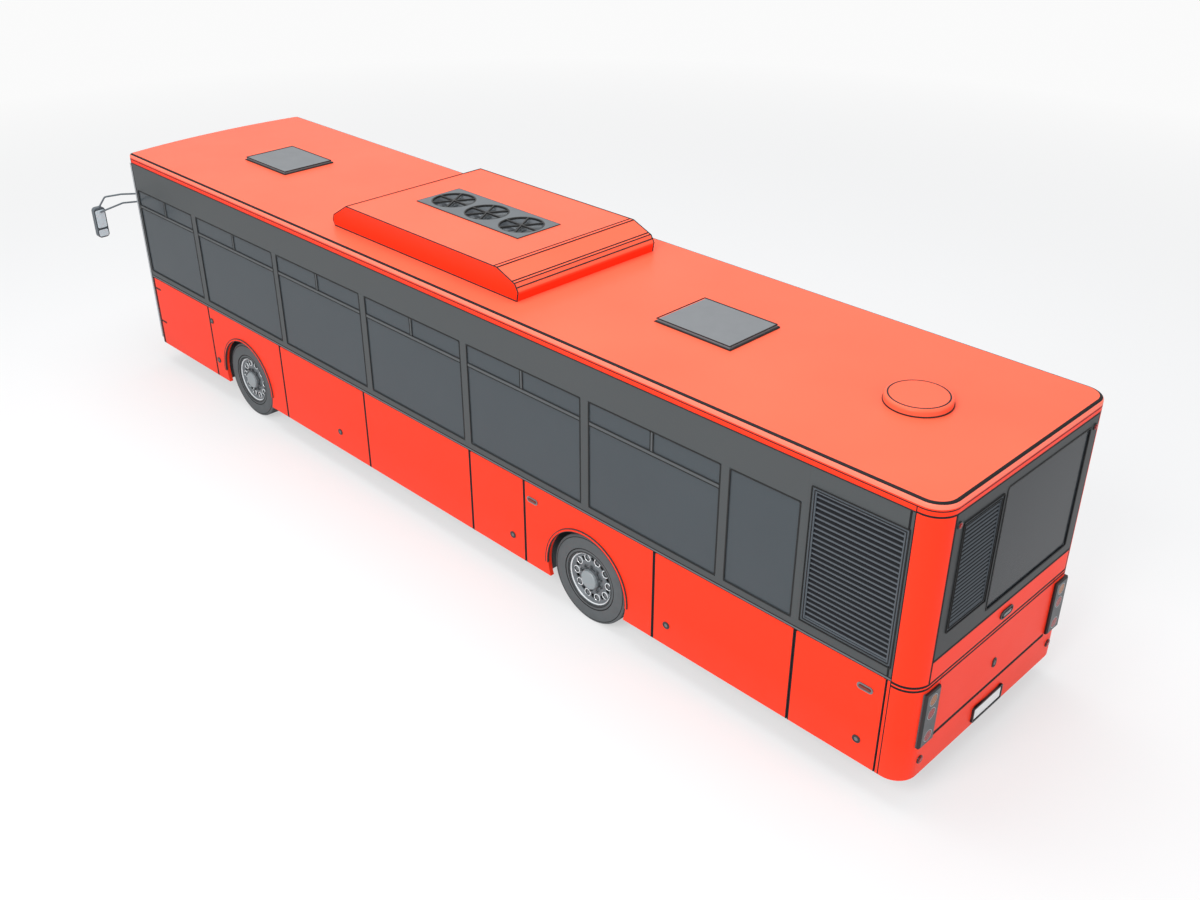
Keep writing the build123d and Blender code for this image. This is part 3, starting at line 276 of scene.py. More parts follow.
@dataclass(frozen=True)
class CoachPaint:
    """Two-coat coach enamel with a grey window band, painted top light on the roof and the air unit, a
    painted highlight along the roof's edge and painted shade on the rear's grey field.
    """

    livery: Livery = Livery.PLAIN
    red: Colour = (0.93, 0.036, 0.009, 1.0)
    # painted top light: the paler red that the roof's and the air unit's tops are painted
    top_lit_red: Colour = (0.96, 0.150, 0.078, 1.0)
    highlight: Colour = (0.97, 0.20, 0.13, 1.0)
    grey: Colour = screen_colour(74, 77, 78)
    shade: Colour = (0.02, 0.022, 0.024, 1.0)
    dirt: Colour = (0.19, 0.16, 0.13, 1.0)
    gap: Colour = (0.012, 0.012, 0.013, 1.0)
    # z band along the roof's edge that takes the painted highlight
    roof_bead: tuple[float, float] = (2.901, 2.938)
    roof_edge: float = 2.940
    unit_side: float = 0.9492
    unit_foot: float = 3.02
    front_low: float = 1.12
    rear_field: tuple[float, float, float] = (1.10, 1.485, 2.838)

    def ground(self, recipe: Recipe, y: Wire, z: Wire) -> Wire:
        """The livery's colours with their painted top light, highlight and shade, without joints or dirt.

        Args:
            recipe: the material being built.
            y: object coordinate across the bus.
            z: object coordinate upward.

        Returns:
            The colour.
        """
        cloud = recipe.noise(0.7, 2.0)
        red = recipe.mottled(self.red, cloud * 0.12, 0.86)
        grey = recipe.mottled(self.grey, cloud * 0.25, 0.82)
        pale = recipe.blend(cloud * 0.30, self.top_lit_red, self.red)
        # painted top light: the roof turns paler red above its edge
        if self.livery is Livery.ROOF:
            colour = recipe.blend(((z - self.roof_edge) / 0.006).held(), red, pale)
            # painted highlight along the roof's edge
            return recipe.blend(z.within(*self.roof_bead), colour, self.highlight)
        # painted top light: the air unit turns paler red above its foot, between its sides
        if self.livery is Livery.AIR_UNIT:
            return recipe.blend((y.size() < self.unit_side) * ((z - self.unit_foot) / 0.05).held(), red, pale)
        if self.livery is Livery.SIDES:
            return recipe.blend(z.within(BAND_LOW, BAND_HIGH), red, grey)
        if self.livery is Livery.FRONT:
            return recipe.blend(z.within(self.front_low, BAND_HIGH), red, grey)
        if self.livery is Livery.REAR:
            half, low, high = self.rear_field
            # painted shade: the rear's grey field is darkened towards the shade colour
            painted_shading = recipe.blend(0.60, grey, self.shade)
            return recipe.blend((y.size() < half) * z.within(low, high), red, painted_shading)
        return red

    def joints(self, places: dict[str, Wire]) -> Wire | None:
        """One where a joint lies.

        Args:
            places: object coordinates by axis.

        Returns:
            The mask, or none if this livery has no joints.
        """
        mask = None
        for joint in JOINTS.get(self.livery, ()):
            line = places[joint.along].near(joint.place, joint.half)
            if joint.low is not None:
                line = line * places["z"].within(joint.low, joint.high)
            if joint.reach is not None:
                line = line * (places["y"].size() < joint.reach)
            mask = line if mask is None else mask.largest(line)
        return mask

    def make(self) -> Material:
        """Builds the material."""
        recipe = Recipe("coach_paint_" + self.livery.value)
        x, y, z = recipe.place()
        dust = recipe.noise(2.5, 4.0, 0.6)
        low_dirt = (1.0 - (z - 0.3) / 0.4).held() * dust * 0.12
        colour = recipe.blend(low_dirt, self.ground(recipe, y, z), self.dirt)
        rough = 0.34 + dust * 0.08 + low_dirt * 0.5
        mask = self.joints({"x": x, "y": y, "z": z})
        if mask is not None:
            colour = recipe.blend(mask, colour, self.gap)
            rough = rough + mask * 0.3
        grain = recipe.raised(recipe.noise(900.0, 2.0), 0.00004)
        return recipe.done(Base_Color=colour, Roughness=rough, Normal=grain,
                           Coat_Weight=0.03, Coat_Roughness=0.15, IOR=1.45, Specular_IOR_Level=0.13)


@dataclass(frozen=True)
class TintedGlass:
    """Dark body-tinted safety glass, with painted shade on the rear panes."""

    name: str = "tinted_glass"
    tint: Colour = screen_colour(73, 79, 83)
    cover: float = 0.92
    shade: Colour = (0.02, 0.022, 0.026, 1.0)
    rear_station: float = 0.1

    def make(self) -> Material:
        """Builds the material."""
        recipe = Recipe(self.name)
        tint = recipe.mottled(self.tint, recipe.noise(1.3, 3.0) * 0.30, 0.72)
        # painted shade: panes on the rear face are darkened towards the shade colour
        rear = recipe.place()[0] < at(self.rear_station)
        streak = recipe.noise(14.0, 3.0, 0.6, (1.0, 1.0, 0.12))
        return recipe.done(Base_Color=recipe.blend(rear * 0.72, tint, self.shade),
                           Roughness=0.14 + streak * 0.10, Alpha=self.cover, IOR=1.45,
                           Specular_IOR_Level=0.15)


@dataclass(frozen=True)
class Enamel:
    """Plain painted, plated or moulded surface."""

    name: str
    colour: Colour
    rough: float = 0.45
    metal: float = 0.0
    grain_scale: float = 500.0
    grain_height: float = 0.00006
    wear: float = 0.15

    def make(self) -> Material:
        """Builds the material."""
        recipe = Recipe(self.name)
        cloud = recipe.noise(5.0, 4.0, 0.6)
        return recipe.done(Base_Color=recipe.mottled(self.colour, cloud * self.wear * 2.0, 0.6),
                           Roughness=self.rough - 0.06 + cloud * 0.12, Metallic=self.metal,
                           Normal=recipe.raised(recipe.noise(self.grain_scale, 2.0), self.grain_height))


@dataclass(frozen=True)
class LouvrePaint:
    """Grey louvre enamel with painted shade that darkens it inward between the slats."""

    name: str = "louvre_paint"
    colour: Colour = screen_colour(76, 82, 88)
    # colour of the painted shade deep between the slats
    gap: Colour = screen_colour(17, 19, 24)
    depth: float = 0.0075
    fade: float = 0.004

    def make(self) -> Material:
        """Builds the material."""
        recipe = Recipe(self.name)
        x, y, _ = recipe.place()
        inward = (HALF_WIDTH - y.size()).smallest(x - at(0.0))
        shade = ((inward - self.depth) / self.fade).held()
        face = recipe.mottled(self.colour, recipe.noise(4.0, 3.0) * 0.3, 0.75)
        return recipe.done(Base_Color=recipe.blend(shade, face, self.gap), Roughness=0.5 + shade * 0.3,
                           Specular_IOR_Level=0.3, Normal=recipe.raised(recipe.noise(600.0, 2.0), 0.00006))


@dataclass(frozen=True)
class TrayPaint:
    """Fan tray enamel with black guards, ringed wells and painted light that brightens the wells' shaded
    insides.
    """

    name: str = "tray_paint"
    colour: Colour = screen_colour(92, 97, 101)
    black: Colour = screen_colour(15, 16, 18)
    # painted light: the wells' insides are painted lighter than the tray to offset their shade
    inside: Colour = screen_colour(128, 133, 138)
    rear: float = -0.515
    pitch: float = 0.55
    well: float = 0.232
    rim_height: float = 3.215
    middle: float = 0.310
    field_size: tuple[float, float] = (0.817, 0.292)

    def make(self) -> Material:
        """Builds the material."""
        recipe = Recipe(self.name)
        x, y, z = recipe.place()
        cloud = recipe.noise(6.0, 3.0)
        away = (x - self.rear).repeat(self.pitch) - self.pitch / 2
        reach = (away * away + y * y).root()
        # painted light: one inside the wells below the rim, where the lighter colour goes
        painted_shading = (reach < self.well + 0.002) * (z < self.rim_height)
        ring = reach.near(self.well + 0.004, 0.009).largest(reach < self.well - 0.002)
        mask = ring * (z > self.rim_height + 0.001)
        length, width = self.field_size
        edge = ((x - self.middle).size() > length).largest(y.size() > width)
        face = recipe.blend(painted_shading, recipe.mottled(self.colour, cloud * 0.35, 0.7), self.inside)
        return recipe.done(Base_Color=recipe.blend(mask.largest(edge), face, self.black),
                           Roughness=0.5 + cloud * 0.1,
                           Normal=recipe.raised(recipe.noise(500.0, 2.0), 0.00006))


@dataclass(frozen=True)
class LampPlastic:
    """Dark lamp housing with a moulded bezel round each rear lens."""

    name: str = "lamp_housing_plastic"
    colour: Colour = screen_colour(66, 70, 74)
    bezel: Colour = screen_colour(148, 154, 158)
    shadow: Colour = screen_colour(16, 17, 19)
    middle: float = 1.0375
    heights: tuple[float, ...] = (1.100, 0.960, 0.730)
    housing: Point = (0.0905, 0.915, 0.263)

    def make(self) -> Material:
        """Builds the material."""
        recipe = Recipe(self.name)
        x, y, z = recipe.place()
        cloud = recipe.noise(12.0, 3.0)
        across = y.size() - self.middle
        reaches = [(across * across + (z - height) * (z - height)).root() for height in self.heights]
        nearest = reaches[0].smallest(reaches[1]).smallest(reaches[2])
        rear = x < at(0.0)
        ring = nearest.near(0.0550, 0.0035) * rear
        dark = (nearest < 0.0515).largest(nearest.near(0.0615, 0.003)) * rear
        half, centre, reach = self.housing
        edge = (across.size() > half).largest((z - centre).size() > reach) * rear
        body = recipe.mottled(self.colour, cloud * 0.4, 0.7)
        colour = recipe.blend(ring, recipe.blend(dark.largest(edge), body, self.shadow), self.bezel)
        return recipe.done(Base_Color=colour, Roughness=0.35 + cloud * 0.15,
                           Normal=recipe.raised(recipe.noise(500.0, 2.0), 0.00005))


@dataclass(frozen=True)
class TyreRubber:
    """Tyre rubber with moulded rings on the sidewall."""

    name: str = "tyre_rubber"
    rubber: Colour = screen_colour(84, 88, 90)
    worn: Colour = screen_colour(66, 69, 71)
    line: Colour = screen_colour(18, 19, 20)
    between: float = 0.94
    wall: float = 0.268

    def make(self) -> Material:
        """Builds the material."""
        recipe = Recipe(self.name)
        x, y, z = recipe.place()
        cloud = recipe.noise(9.0, 4.0, 0.6)
        wall = (y.size() - self.between).size() > self.wall
        away = x - ((x > 0.5) * (FRONT_AXLE - REAR_AXLE) + at(REAR_AXLE))
        reach = (away * away + (z - AXLE_HEIGHT) * (z - AXLE_HEIGHT)).root()
        rings = reach.near(0.3300, 0.006).largest(reach.near(0.4555, 0.004)).largest(reach < 0.304) * wall
        colour = recipe.blend(rings, recipe.blend(cloud * 0.6, self.rubber, self.worn), self.line)
        return recipe.done(Base_Color=colour, Roughness=0.72 + cloud * 0.12,
                           Normal=recipe.raised(recipe.noise(650.0, 3.0), 0.00025))


@dataclass(frozen=True)
class LensPlastic:
    """Coloured lamp lens with moulded optics."""

    name: str
    colour: Colour
    pitch: float = 0.009

    def make(self) -> Material:
        """Builds the material."""
        recipe = Recipe(self.name)
        _, y, z = recipe.place()
        ridge_y, ridge_z = ((wire.repeat(self.pitch) / self.pitch - 0.5).size() for wire in (y, z))
        return recipe.done(Base_Color=recipe.mottled(self.colour, ridge_y.largest(ridge_z) * 0.7, 0.55),
                           Roughness=0.22 + ridge_y * 0.1, Normal=recipe.raised(ridge_y + ridge_z, 0.0012),
                           Coat_Weight=0.15, Coat_Roughness=0.04, Specular_IOR_Level=0.25)


@dataclass(frozen=True)
class SeatCloth:
    """Woven seat cloth with a fine lattice of lozenges."""

    name: str = "seat_cloth"
    base: Colour = screen_colour(46, 66, 120)
    dots: Colour = screen_colour(92, 118, 176)
    pitch: float = 0.046

    def make(self) -> Material:
        """Builds the material."""
        recipe = Recipe(self.name)
        x, y, z = recipe.place()
        first, second = ((slope.repeat(self.pitch) / self.pitch - 0.5).size()
                         for slope in (y + x + z, y - x - z))
        weave = recipe.noise(900.0, 2.0)
        ground = recipe.mottled(self.base, recipe.noise(8.0, 3.0) * 0.5, 0.6)
        return recipe.done(Base_Color=recipe.blend((first + second < 0.22) * 0.8, ground, self.dots),
                           Roughness=0.86 + weave * 0.1, Specular_IOR_Level=0.2,
                           Normal=recipe.raised(weave, 0.0006))


@dataclass(frozen=True)
class SpeckledFloor:
    """Slip-resistant floor covering with fine speckles."""

    name: str = "speckled_floor"
    base: Colour = screen_colour(92, 95, 99)
    worn: Colour = screen_colour(78, 80, 84)
    fleck: Colour = screen_colour(150, 152, 155)

    def make(self) -> Material:
        """Builds the material."""
        recipe = Recipe(self.name)
        settings = {"Vector": recipe.where(), "Scale": 160.0}
        flecks = recipe.node("ShaderNodeTexVoronoi", {}, settings, "Distance")
        cloud = recipe.noise(3.0, 3.0)
        base = recipe.blend(cloud * 0.5, self.base, self.worn)
        return recipe.done(Base_Color=recipe.blend((flecks < 0.16) * 0.8, base, self.fleck),
                           Roughness=0.62 + cloud * 0.15, Normal=recipe.raised(flecks, 0.0004))


# --------------------------------------------------------------------------- modelling bench
TURNED, ROUND, MOULDED = 30.0, 35.0, 40.0   # degrees up to which rings, bars and mouldings are smooth
HAIRLINE = 0.001                # bevel of thin rubber and enamel strips


@dataclass(frozen=True)
class Gasket:
    """A flat frame round an opening: its width inward, how far it stands out and its corner radius."""

    width: float
    proud: float
    corner: float


@dataclass(frozen=True)
class Stamp:
    """A rounded plate: size, corner radius, how far it stands out, its rim's width and its middle's rise."""

    width: float
    height: float
    corner: float
    proud: float
    rim: float
    rise: float
    segments: int = 5


def disc(size: float, proud: float, rim: float, rise: float) -> Stamp:
    """A stamp that is very nearly round."""
    return Stamp(size, size, size * 0.48, proud, rim, rise, 7)


class Bench:
    """Modelling by hand operators: every piece ends at the origin with its place in its mesh."""

    @staticmethod
    def clear() -> None:
        """Leaves edit mode and deselects everything."""
        if bpy.context.object and bpy.context.object.mode != "OBJECT":
            bpy.ops.object.mode_set(mode="OBJECT")
        bpy.ops.object.select_all(action="DESELECT")

    @classmethod
    def take(cls, piece: Piece) -> None:
        """Selects one piece alone and makes it active."""
        cls.clear()
        bpy.context.view_layer.objects.active = piece
        piece.select_set(True)

    @staticmethod
    def open(kind: str | None = None) -> None:
        """Opens the active piece in edit mode with everything selected."""
        bpy.ops.object.mode_set(mode="EDIT")
        if kind:
            bpy.ops.mesh.select_mode(type=kind)
        bpy.ops.mesh.select_all(action="SELECT")

    @staticmethod
    def close() -> Piece:
        """Turns all faces of the active piece outward and leaves edit mode."""
        bpy.ops.mesh.select_all(action="SELECT")
        bpy.ops.mesh.normals_make_consistent(inside=False)
        bpy.ops.object.mode_set(mode="OBJECT")
        return bpy.context.object

    @staticmethod
    def pull(way: Sequence[float]) -> None:
        """Extrudes what is selected by a vector."""
        bpy.ops.mesh.extrude_region_move(TRANSFORM_OT_translate={"value": way})

    @staticmethod
    def settle(name: str) -> Piece:
        """Names the active object and moves its place into its mesh."""
        piece = bpy.context.object
        bpy.ops.object.transform_apply(location=True, rotation=True, scale=True)
        piece.name = piece.data.name = name
        return piece

    @classmethod
    def cuboid(cls, name: str, low: Point, high: Point) -> Piece:
        """Adds a cuboid between two corners."""
        cls.clear()
        middle = [(a + b) / 2 for a, b in zip(low, high)]
        bpy.ops.mesh.primitive_cube_add(size=1, location=middle, scale=[b - a for a, b in zip(low, high)])
        return cls.settle(name)

    @classmethod
    def drum(cls, name: str, centre: Point, radius: float, depth: float, axis: str, sides: int) -> Piece:
        """Adds a cylinder along a named axis.

        Args:
            name: the piece's name.
            centre: its middle.
            radius: its radius.
            depth: its length along the axis.
            axis: X, Y or Z.
            sides: number of sides.

        Returns:
            The new object.
        """
        cls.clear()
        turn = {"X": (0, math.pi / 2, 0), "Y": (math.pi / 2, 0, 0), "Z": (0, 0, 0)}[axis]
        bpy.ops.mesh.primitive_cylinder_add(vertices=sides, radius=radius, depth=depth, location=centre,
                                            rotation=turn)
        return cls.settle(name)

    @classmethod
    def pick_faces(cls, piece: Piece, test: Callable[[bpy.types.MeshPolygon], bool]) -> int:
        """Selects faces by a test and opens edit mode.

        Args:
            piece: the object that is being shaped.
            test: takes a face, true to select it.

        Returns:
            How many were selected.
        """
        cls.take(piece)
        cls.open("FACE")
        bpy.ops.mesh.select_all(action="DESELECT")
        bpy.ops.object.mode_set(mode="OBJECT")
        chosen = 0
        for face in piece.data.polygons:
            face.select = bool(test(face))
            chosen += face.select
        bpy.ops.object.mode_set(mode="EDIT")
        return chosen

    @classmethod
    def apply(cls, piece: Piece, modifier: bpy.types.Modifier) -> Piece:
        """Applies one modifier."""
        cls.take(piece)
        bpy.ops.object.modifier_apply(modifier=modifier.name)
        return piece

    @classmethod
    def bevel(cls, piece: Piece, width: float, segments: int = 2) -> Piece:
        """Rounds a piece's sharp edges and applies it."""
        soft = piece.modifiers.new("bevel", "BEVEL")
        soft.width = width
        soft.segments = segments
        soft.limit_method = "ANGLE"
        soft.angle_limit = math.radians(40)
        return cls.apply(piece, soft)

    @classmethod
    def smooth(cls, piece: Piece, angle: float) -> Piece:
        """Shades a piece smooth up to an angle."""
        cls.take(piece)
        bpy.ops.object.shade_smooth_by_angle(angle=math.radians(angle))
        return piece

    @classmethod
    def trace(cls, name: str, points: Sequence[Point], closed: bool = False) -> Piece:
        """Draws a chain of edges through points, from one vertex extruded along.

        Args:
            name: the piece's name.
            points: the chain's points.
            closed: whether the last joins the first.

        Returns:
            The new object.
        """
        cls.clear()
        bpy.ops.mesh.primitive_plane_add(size=0.01, location=points[0])
        piece = cls.settle(name)
        cls.open("VERT")
        bpy.ops.mesh.merge(type="CENTER")
        for here, there in zip(points, points[1:]):
            step = [b - a for a, b in zip(here, there)]
            bpy.ops.mesh.extrude_vertices_move(TRANSFORM_OT_translate={"value": step})
        if closed:
            bpy.ops.mesh.select_all(action="SELECT")
            bpy.ops.mesh.edge_face_add()
            bpy.ops.mesh.delete(type="ONLY_FACE")
        bpy.ops.object.mode_set(mode="OBJECT")
        return piece

    @classmethod
    def lathe(cls, name: str, section: Section, centre: Point, axis: str, steps: int, sweep: float = 360.0,
              start: float = 0.0, closed: bool = True) -> Piece:
        """Turns a section of (along the axis, radius) points about an axis.

        Args:
            name: the piece's name.
            section: points as (along, radius).
            centre: a point on the axis.
            axis: X, Y or Z.
            steps: segments of the sweep.
            sweep: degrees turned.
            start: degrees from the section's first direction.
            closed: whether the section closes on itself.

        Returns:
            The new object.
        """
        along = AXES[axis]
        out = Matrix.Rotation(math.radians(start), 3, along) @ AXES["Z" if axis == "X" else "X"]
        cls.trace(name, [tuple(Vector(centre) + along * a + out * r) for a, r in section], closed)
        cls.open()
        bpy.ops.mesh.spin(steps=steps, angle=math.radians(sweep), center=centre, axis=along)
        bpy.ops.mesh.select_all(action="SELECT")
        bpy.ops.mesh.remove_doubles(threshold=0.00002)
        if sweep < 360 and closed:
            bpy.ops.mesh.select_all(action="DESELECT")
            bpy.ops.mesh.select_non_manifold()
            bpy.ops.mesh.edge_face_add()
        return cls.close()

    @classmethod
    def ribbon(cls, name: str, points: Sequence[Point], rise: float, thick: float) -> Piece:
        """An upright strip that follows points and has a thickness.

        Args:
            name: the piece's name.
            points: the lower edge.
            rise: from the lower to the upper edge.
            thick: thickness, half each side.

        Returns:
            The new object.
        """
        cls.trace(name, points)
        cls.open()
        cls.pull((0, 0, rise))
        piece = cls.close()
        wall = piece.modifiers.new("wall", "SOLIDIFY")
        wall.thickness = thick
        wall.offset = 0.0
        wall.use_even_offset = True
        return cls.apply(piece, wall)

    @classmethod
    def rounded_plane(cls, name: str, middle: Point, turn: Point, size: tuple[float, float], corner: float,
                      segments: int) -> None:
        """Adds a plane with rounded corners and leaves it open, all selected by vertices.

        Args:
            name: the piece's name.
            middle: its middle.
            turn: its rotation in radians.
            size: its two sides.
            corner: its corner radius.
            segments: segments of each corner.
        """
        cls.clear()
        bpy.ops.mesh.primitive_plane_add(size=1, location=middle, rotation=turn)
        bpy.context.object.scale = (*size, 1)
        cls.settle(name)
        cls.open("VERT")
        bpy.ops.mesh.bevel(offset=corner, segments=segments, affect="VERTICES", profile=0.5)
        bpy.ops.mesh.select_all(action="SELECT")

    @classmethod
    def surround(cls, name: str, low: Point, high: Point, gasket: Gasket, side: int) -> Piece:
        """A flat frame round an opening, from a plane that is rounded, inset and raised.

        Args:
            name: the piece's name.
            low: lowest corner of the opening, on the wall's outer face.
            high: highest corner, on the same face; the axis on which both agree is the wall's normal.
            gasket: the frame's shape.
            side: 1 or -1, the way the normal points.

        Returns:
            The new object.
        """
        middle = [(a + b) / 2 for a, b in zip(low, high)]
        along, across, up = (b - a for a, b in zip(low, high))
        if across == 0:
            turn, size, axis = (-side * math.pi / 2, 0, 0), (along, up), "Y"
        else:
            turn, size, axis = (0, side * math.pi / 2, 0), (up, across), "X"
        cls.rounded_plane(name, middle, turn, size, gasket.corner, 5)
        bpy.ops.mesh.select_mode(type="FACE")
        bpy.ops.mesh.select_all(action="SELECT")
        bpy.ops.mesh.inset(thickness=gasket.width)
        bpy.ops.mesh.delete(type="FACE")
        bpy.ops.mesh.select_all(action="SELECT")
        cls.pull(AXES[axis] * side * gasket.proud)
        return cls.close()

    @classmethod
    def badge(cls, name: str, stamp: Stamp, place: Point, axis: str, side: int, out: float = 0.0) -> Piece:
        """A rounded plate on a wall, with a rim and a raised or sunk middle.

        Args:
            name: the piece's name.
            stamp: its shape.
            place: its middle, on the wall's face.
            axis: the wall's normal, X or Y.
            side: 1 or -1, the way the normal points.
            out: how far outside the wall's face it starts.

        Returns:
            The new object.
        """
        middle = Vector(place) + AXES[axis] * side * out
        turn = (math.pi / 2, 0, side * math.pi / 2) if axis == "X" else (-side * math.pi / 2, 0, 0)
        cls.rounded_plane(name, middle, turn, (stamp.width, stamp.height), stamp.corner, stamp.segments)
        bpy.ops.mesh.remove_doubles(threshold=0.00005)
        bpy.ops.mesh.select_mode(type="FACE")
        bpy.ops.mesh.select_all(action="SELECT")
        cls.pull(AXES[axis] * side * stamp.proud)
        bpy.ops.mesh.inset(thickness=stamp.rim)
        cls.pull(AXES[axis] * side * stamp.rise)
        bpy.ops.mesh.inset(thickness=stamp.rim * 0.5)
        return cls.close()

    @classmethod
    def soft_box(cls, name: str, low: Point, high: Point, radius: float, segments: int = 3) -> Piece:
        """A cuboid with rounded edges."""
        return cls.bevel(cls.cuboid(name, low, high), radius, segments)

    @classmethod
    def tube(cls, name: str, points: Sequence[Point], radius: float, sides: int = 2) -> Piece:
        """A round tube along points.

        Args:
            name: the piece's name.
            points: its middle line.
            radius: its radius.
            sides: the bevel's resolution.

        Returns:
            The new object.
        """
        cls.trace(name, points)
        bpy.ops.object.convert(target="CURVE")
        line = bpy.context.object.data
        line.bevel_depth = radius
        line.bevel_resolution = sides
        line.use_fill_caps = True
        bpy.ops.object.convert(target="MESH")
        return cls.smooth(bpy.context.object, ROUND)

    @classmethod
    def join(cls, name: str, parts: Sequence[Piece]) -> Piece:
        """Joins objects into one piece."""
        cls.clear()
        for part in parts:
            part.select_set(True)
        bpy.context.view_layer.objects.active = parts[0]
        if len(parts) > 1:
            bpy.ops.object.join()
        parts[0].name = parts[0].data.name = name
        return parts[0]

    @staticmethod
    def twin(seed: Piece, name: str, shift: Point = (0, 0, 0)) -> Piece:
        """A copy with its own mesh, shifted."""
        copy = seed.copy()
        copy.data = seed.data.copy()
        copy.name = copy.data.name = name
        copy.data.transform(Matrix.Translation(shift))
        bpy.context.scene.collection.objects.link(copy)
        return copy

    @classmethod
    def ring_copies(cls, seed: Piece, name: str, centre: Point, count: int, start: float = 0.0) -> Piece:
        """Copies a piece round a line along Y and joins the copies.

        Args:
            seed: the modelled piece.
            name: the joined piece's name.
            centre: a point on the line.
            count: how many stand round it.
            start: degrees of the first.

        Returns:
            The joined object.
        """
        parts = []
        for index in range(count):
            turn = Matrix.Rotation(math.radians(start + 360 / count * index), 4, "Y")
            copy = cls.twin(seed, "%s_%d" % (name, index))
            copy.data.transform(Matrix.Translation(centre) @ turn @ Matrix.Translation([-c for c in centre]))
            parts.append(copy)
        bpy.data.objects.remove(seed)
        return cls.join(name, parts)


def fit_out(piece: Piece, material: Material, body: str = "body",
            stands_for: Iterable[str] = ()) -> Piece:
    """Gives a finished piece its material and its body.

    Args:
        piece: the modelled object.
        material: its finish.
        body: the CAD body that it rides on.
        stands_for: CAD nodes that it replaces.

    Returns:
        The same object.
    """
    piece.data.materials.clear()
    piece.data.materials.append(material)
    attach(piece, body)
    if stands_for:
        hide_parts(*stands_for)
    log.info("%s rides on %s", piece.name, body)
    return piece


def put_together(name: str, parts: Sequence[Piece], material: Material,
                 body: str = "body", round_off: float = 0.0, smooth: float = 0.0) -> Piece:
    """Joins parts into one finished piece.

    Args:
        name: the piece's name.
        parts: what it is made of.
        material: its finish.
        body: the CAD body that it rides on.
        round_off: the bevel of its edges, none if nought.
        smooth: degrees up to which it is shaded smooth, untouched if nought.

    Returns:
        The piece.
    """
    piece = Bench.join(name, parts)
    if round_off:
        Bench.bevel(piece, round_off, 1)
    if smooth:
        Bench.smooth(piece, smooth)
    return fit_out(piece, material, body)


def dress_node(node: str, material: Material) -> None:
    """Gives a carried CAD node its finish."""
    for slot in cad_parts[node].material_slots:
        slot.material = material
    log.info("dressed %s", node)


# --------------------------------------------------------------------------- body
RUBBER = Enamel("seal_rubber", screen_colour(13, 14, 15), 0.8, 0.0, 700.0, 0.0001)
STRIP = Enamel("belt_strip", screen_colour(98, 102, 105), 0.4, 0.2)
CORNER = Enamel("corner_strip", screen_colour(164, 167, 170), 0.4, 0.1)


def level_path(front: float, rear: float, y: float, z: float) -> list[Point]:
    """A level line along a side between two stations."""
    return [(at(front), y, z), (at(rear), y, z)]


@dataclass(frozen=True)
class Line:
    """A strip along the sides: name, (front, rear, side) runs, place out and up, height and thickness."""

    name: str
    runs: tuple[Point, ...]
    out: float
    height: float
    rise: float
    thick: float
    finish: str = "rubber"
    slot: str | None = "seal"


BELT_RUNS = ((11.955, 0.232, 1), (5.56, 0.232, -1), (10.46, 6.99, -1))      # open at the doorways
FULL_RUNS = ((11.955, 0.232, 1), (11.955, 0.232, -1))
CORNER_RUNS = ((11.984, 12.0165, 1), (11.984, 12.0165, -1))


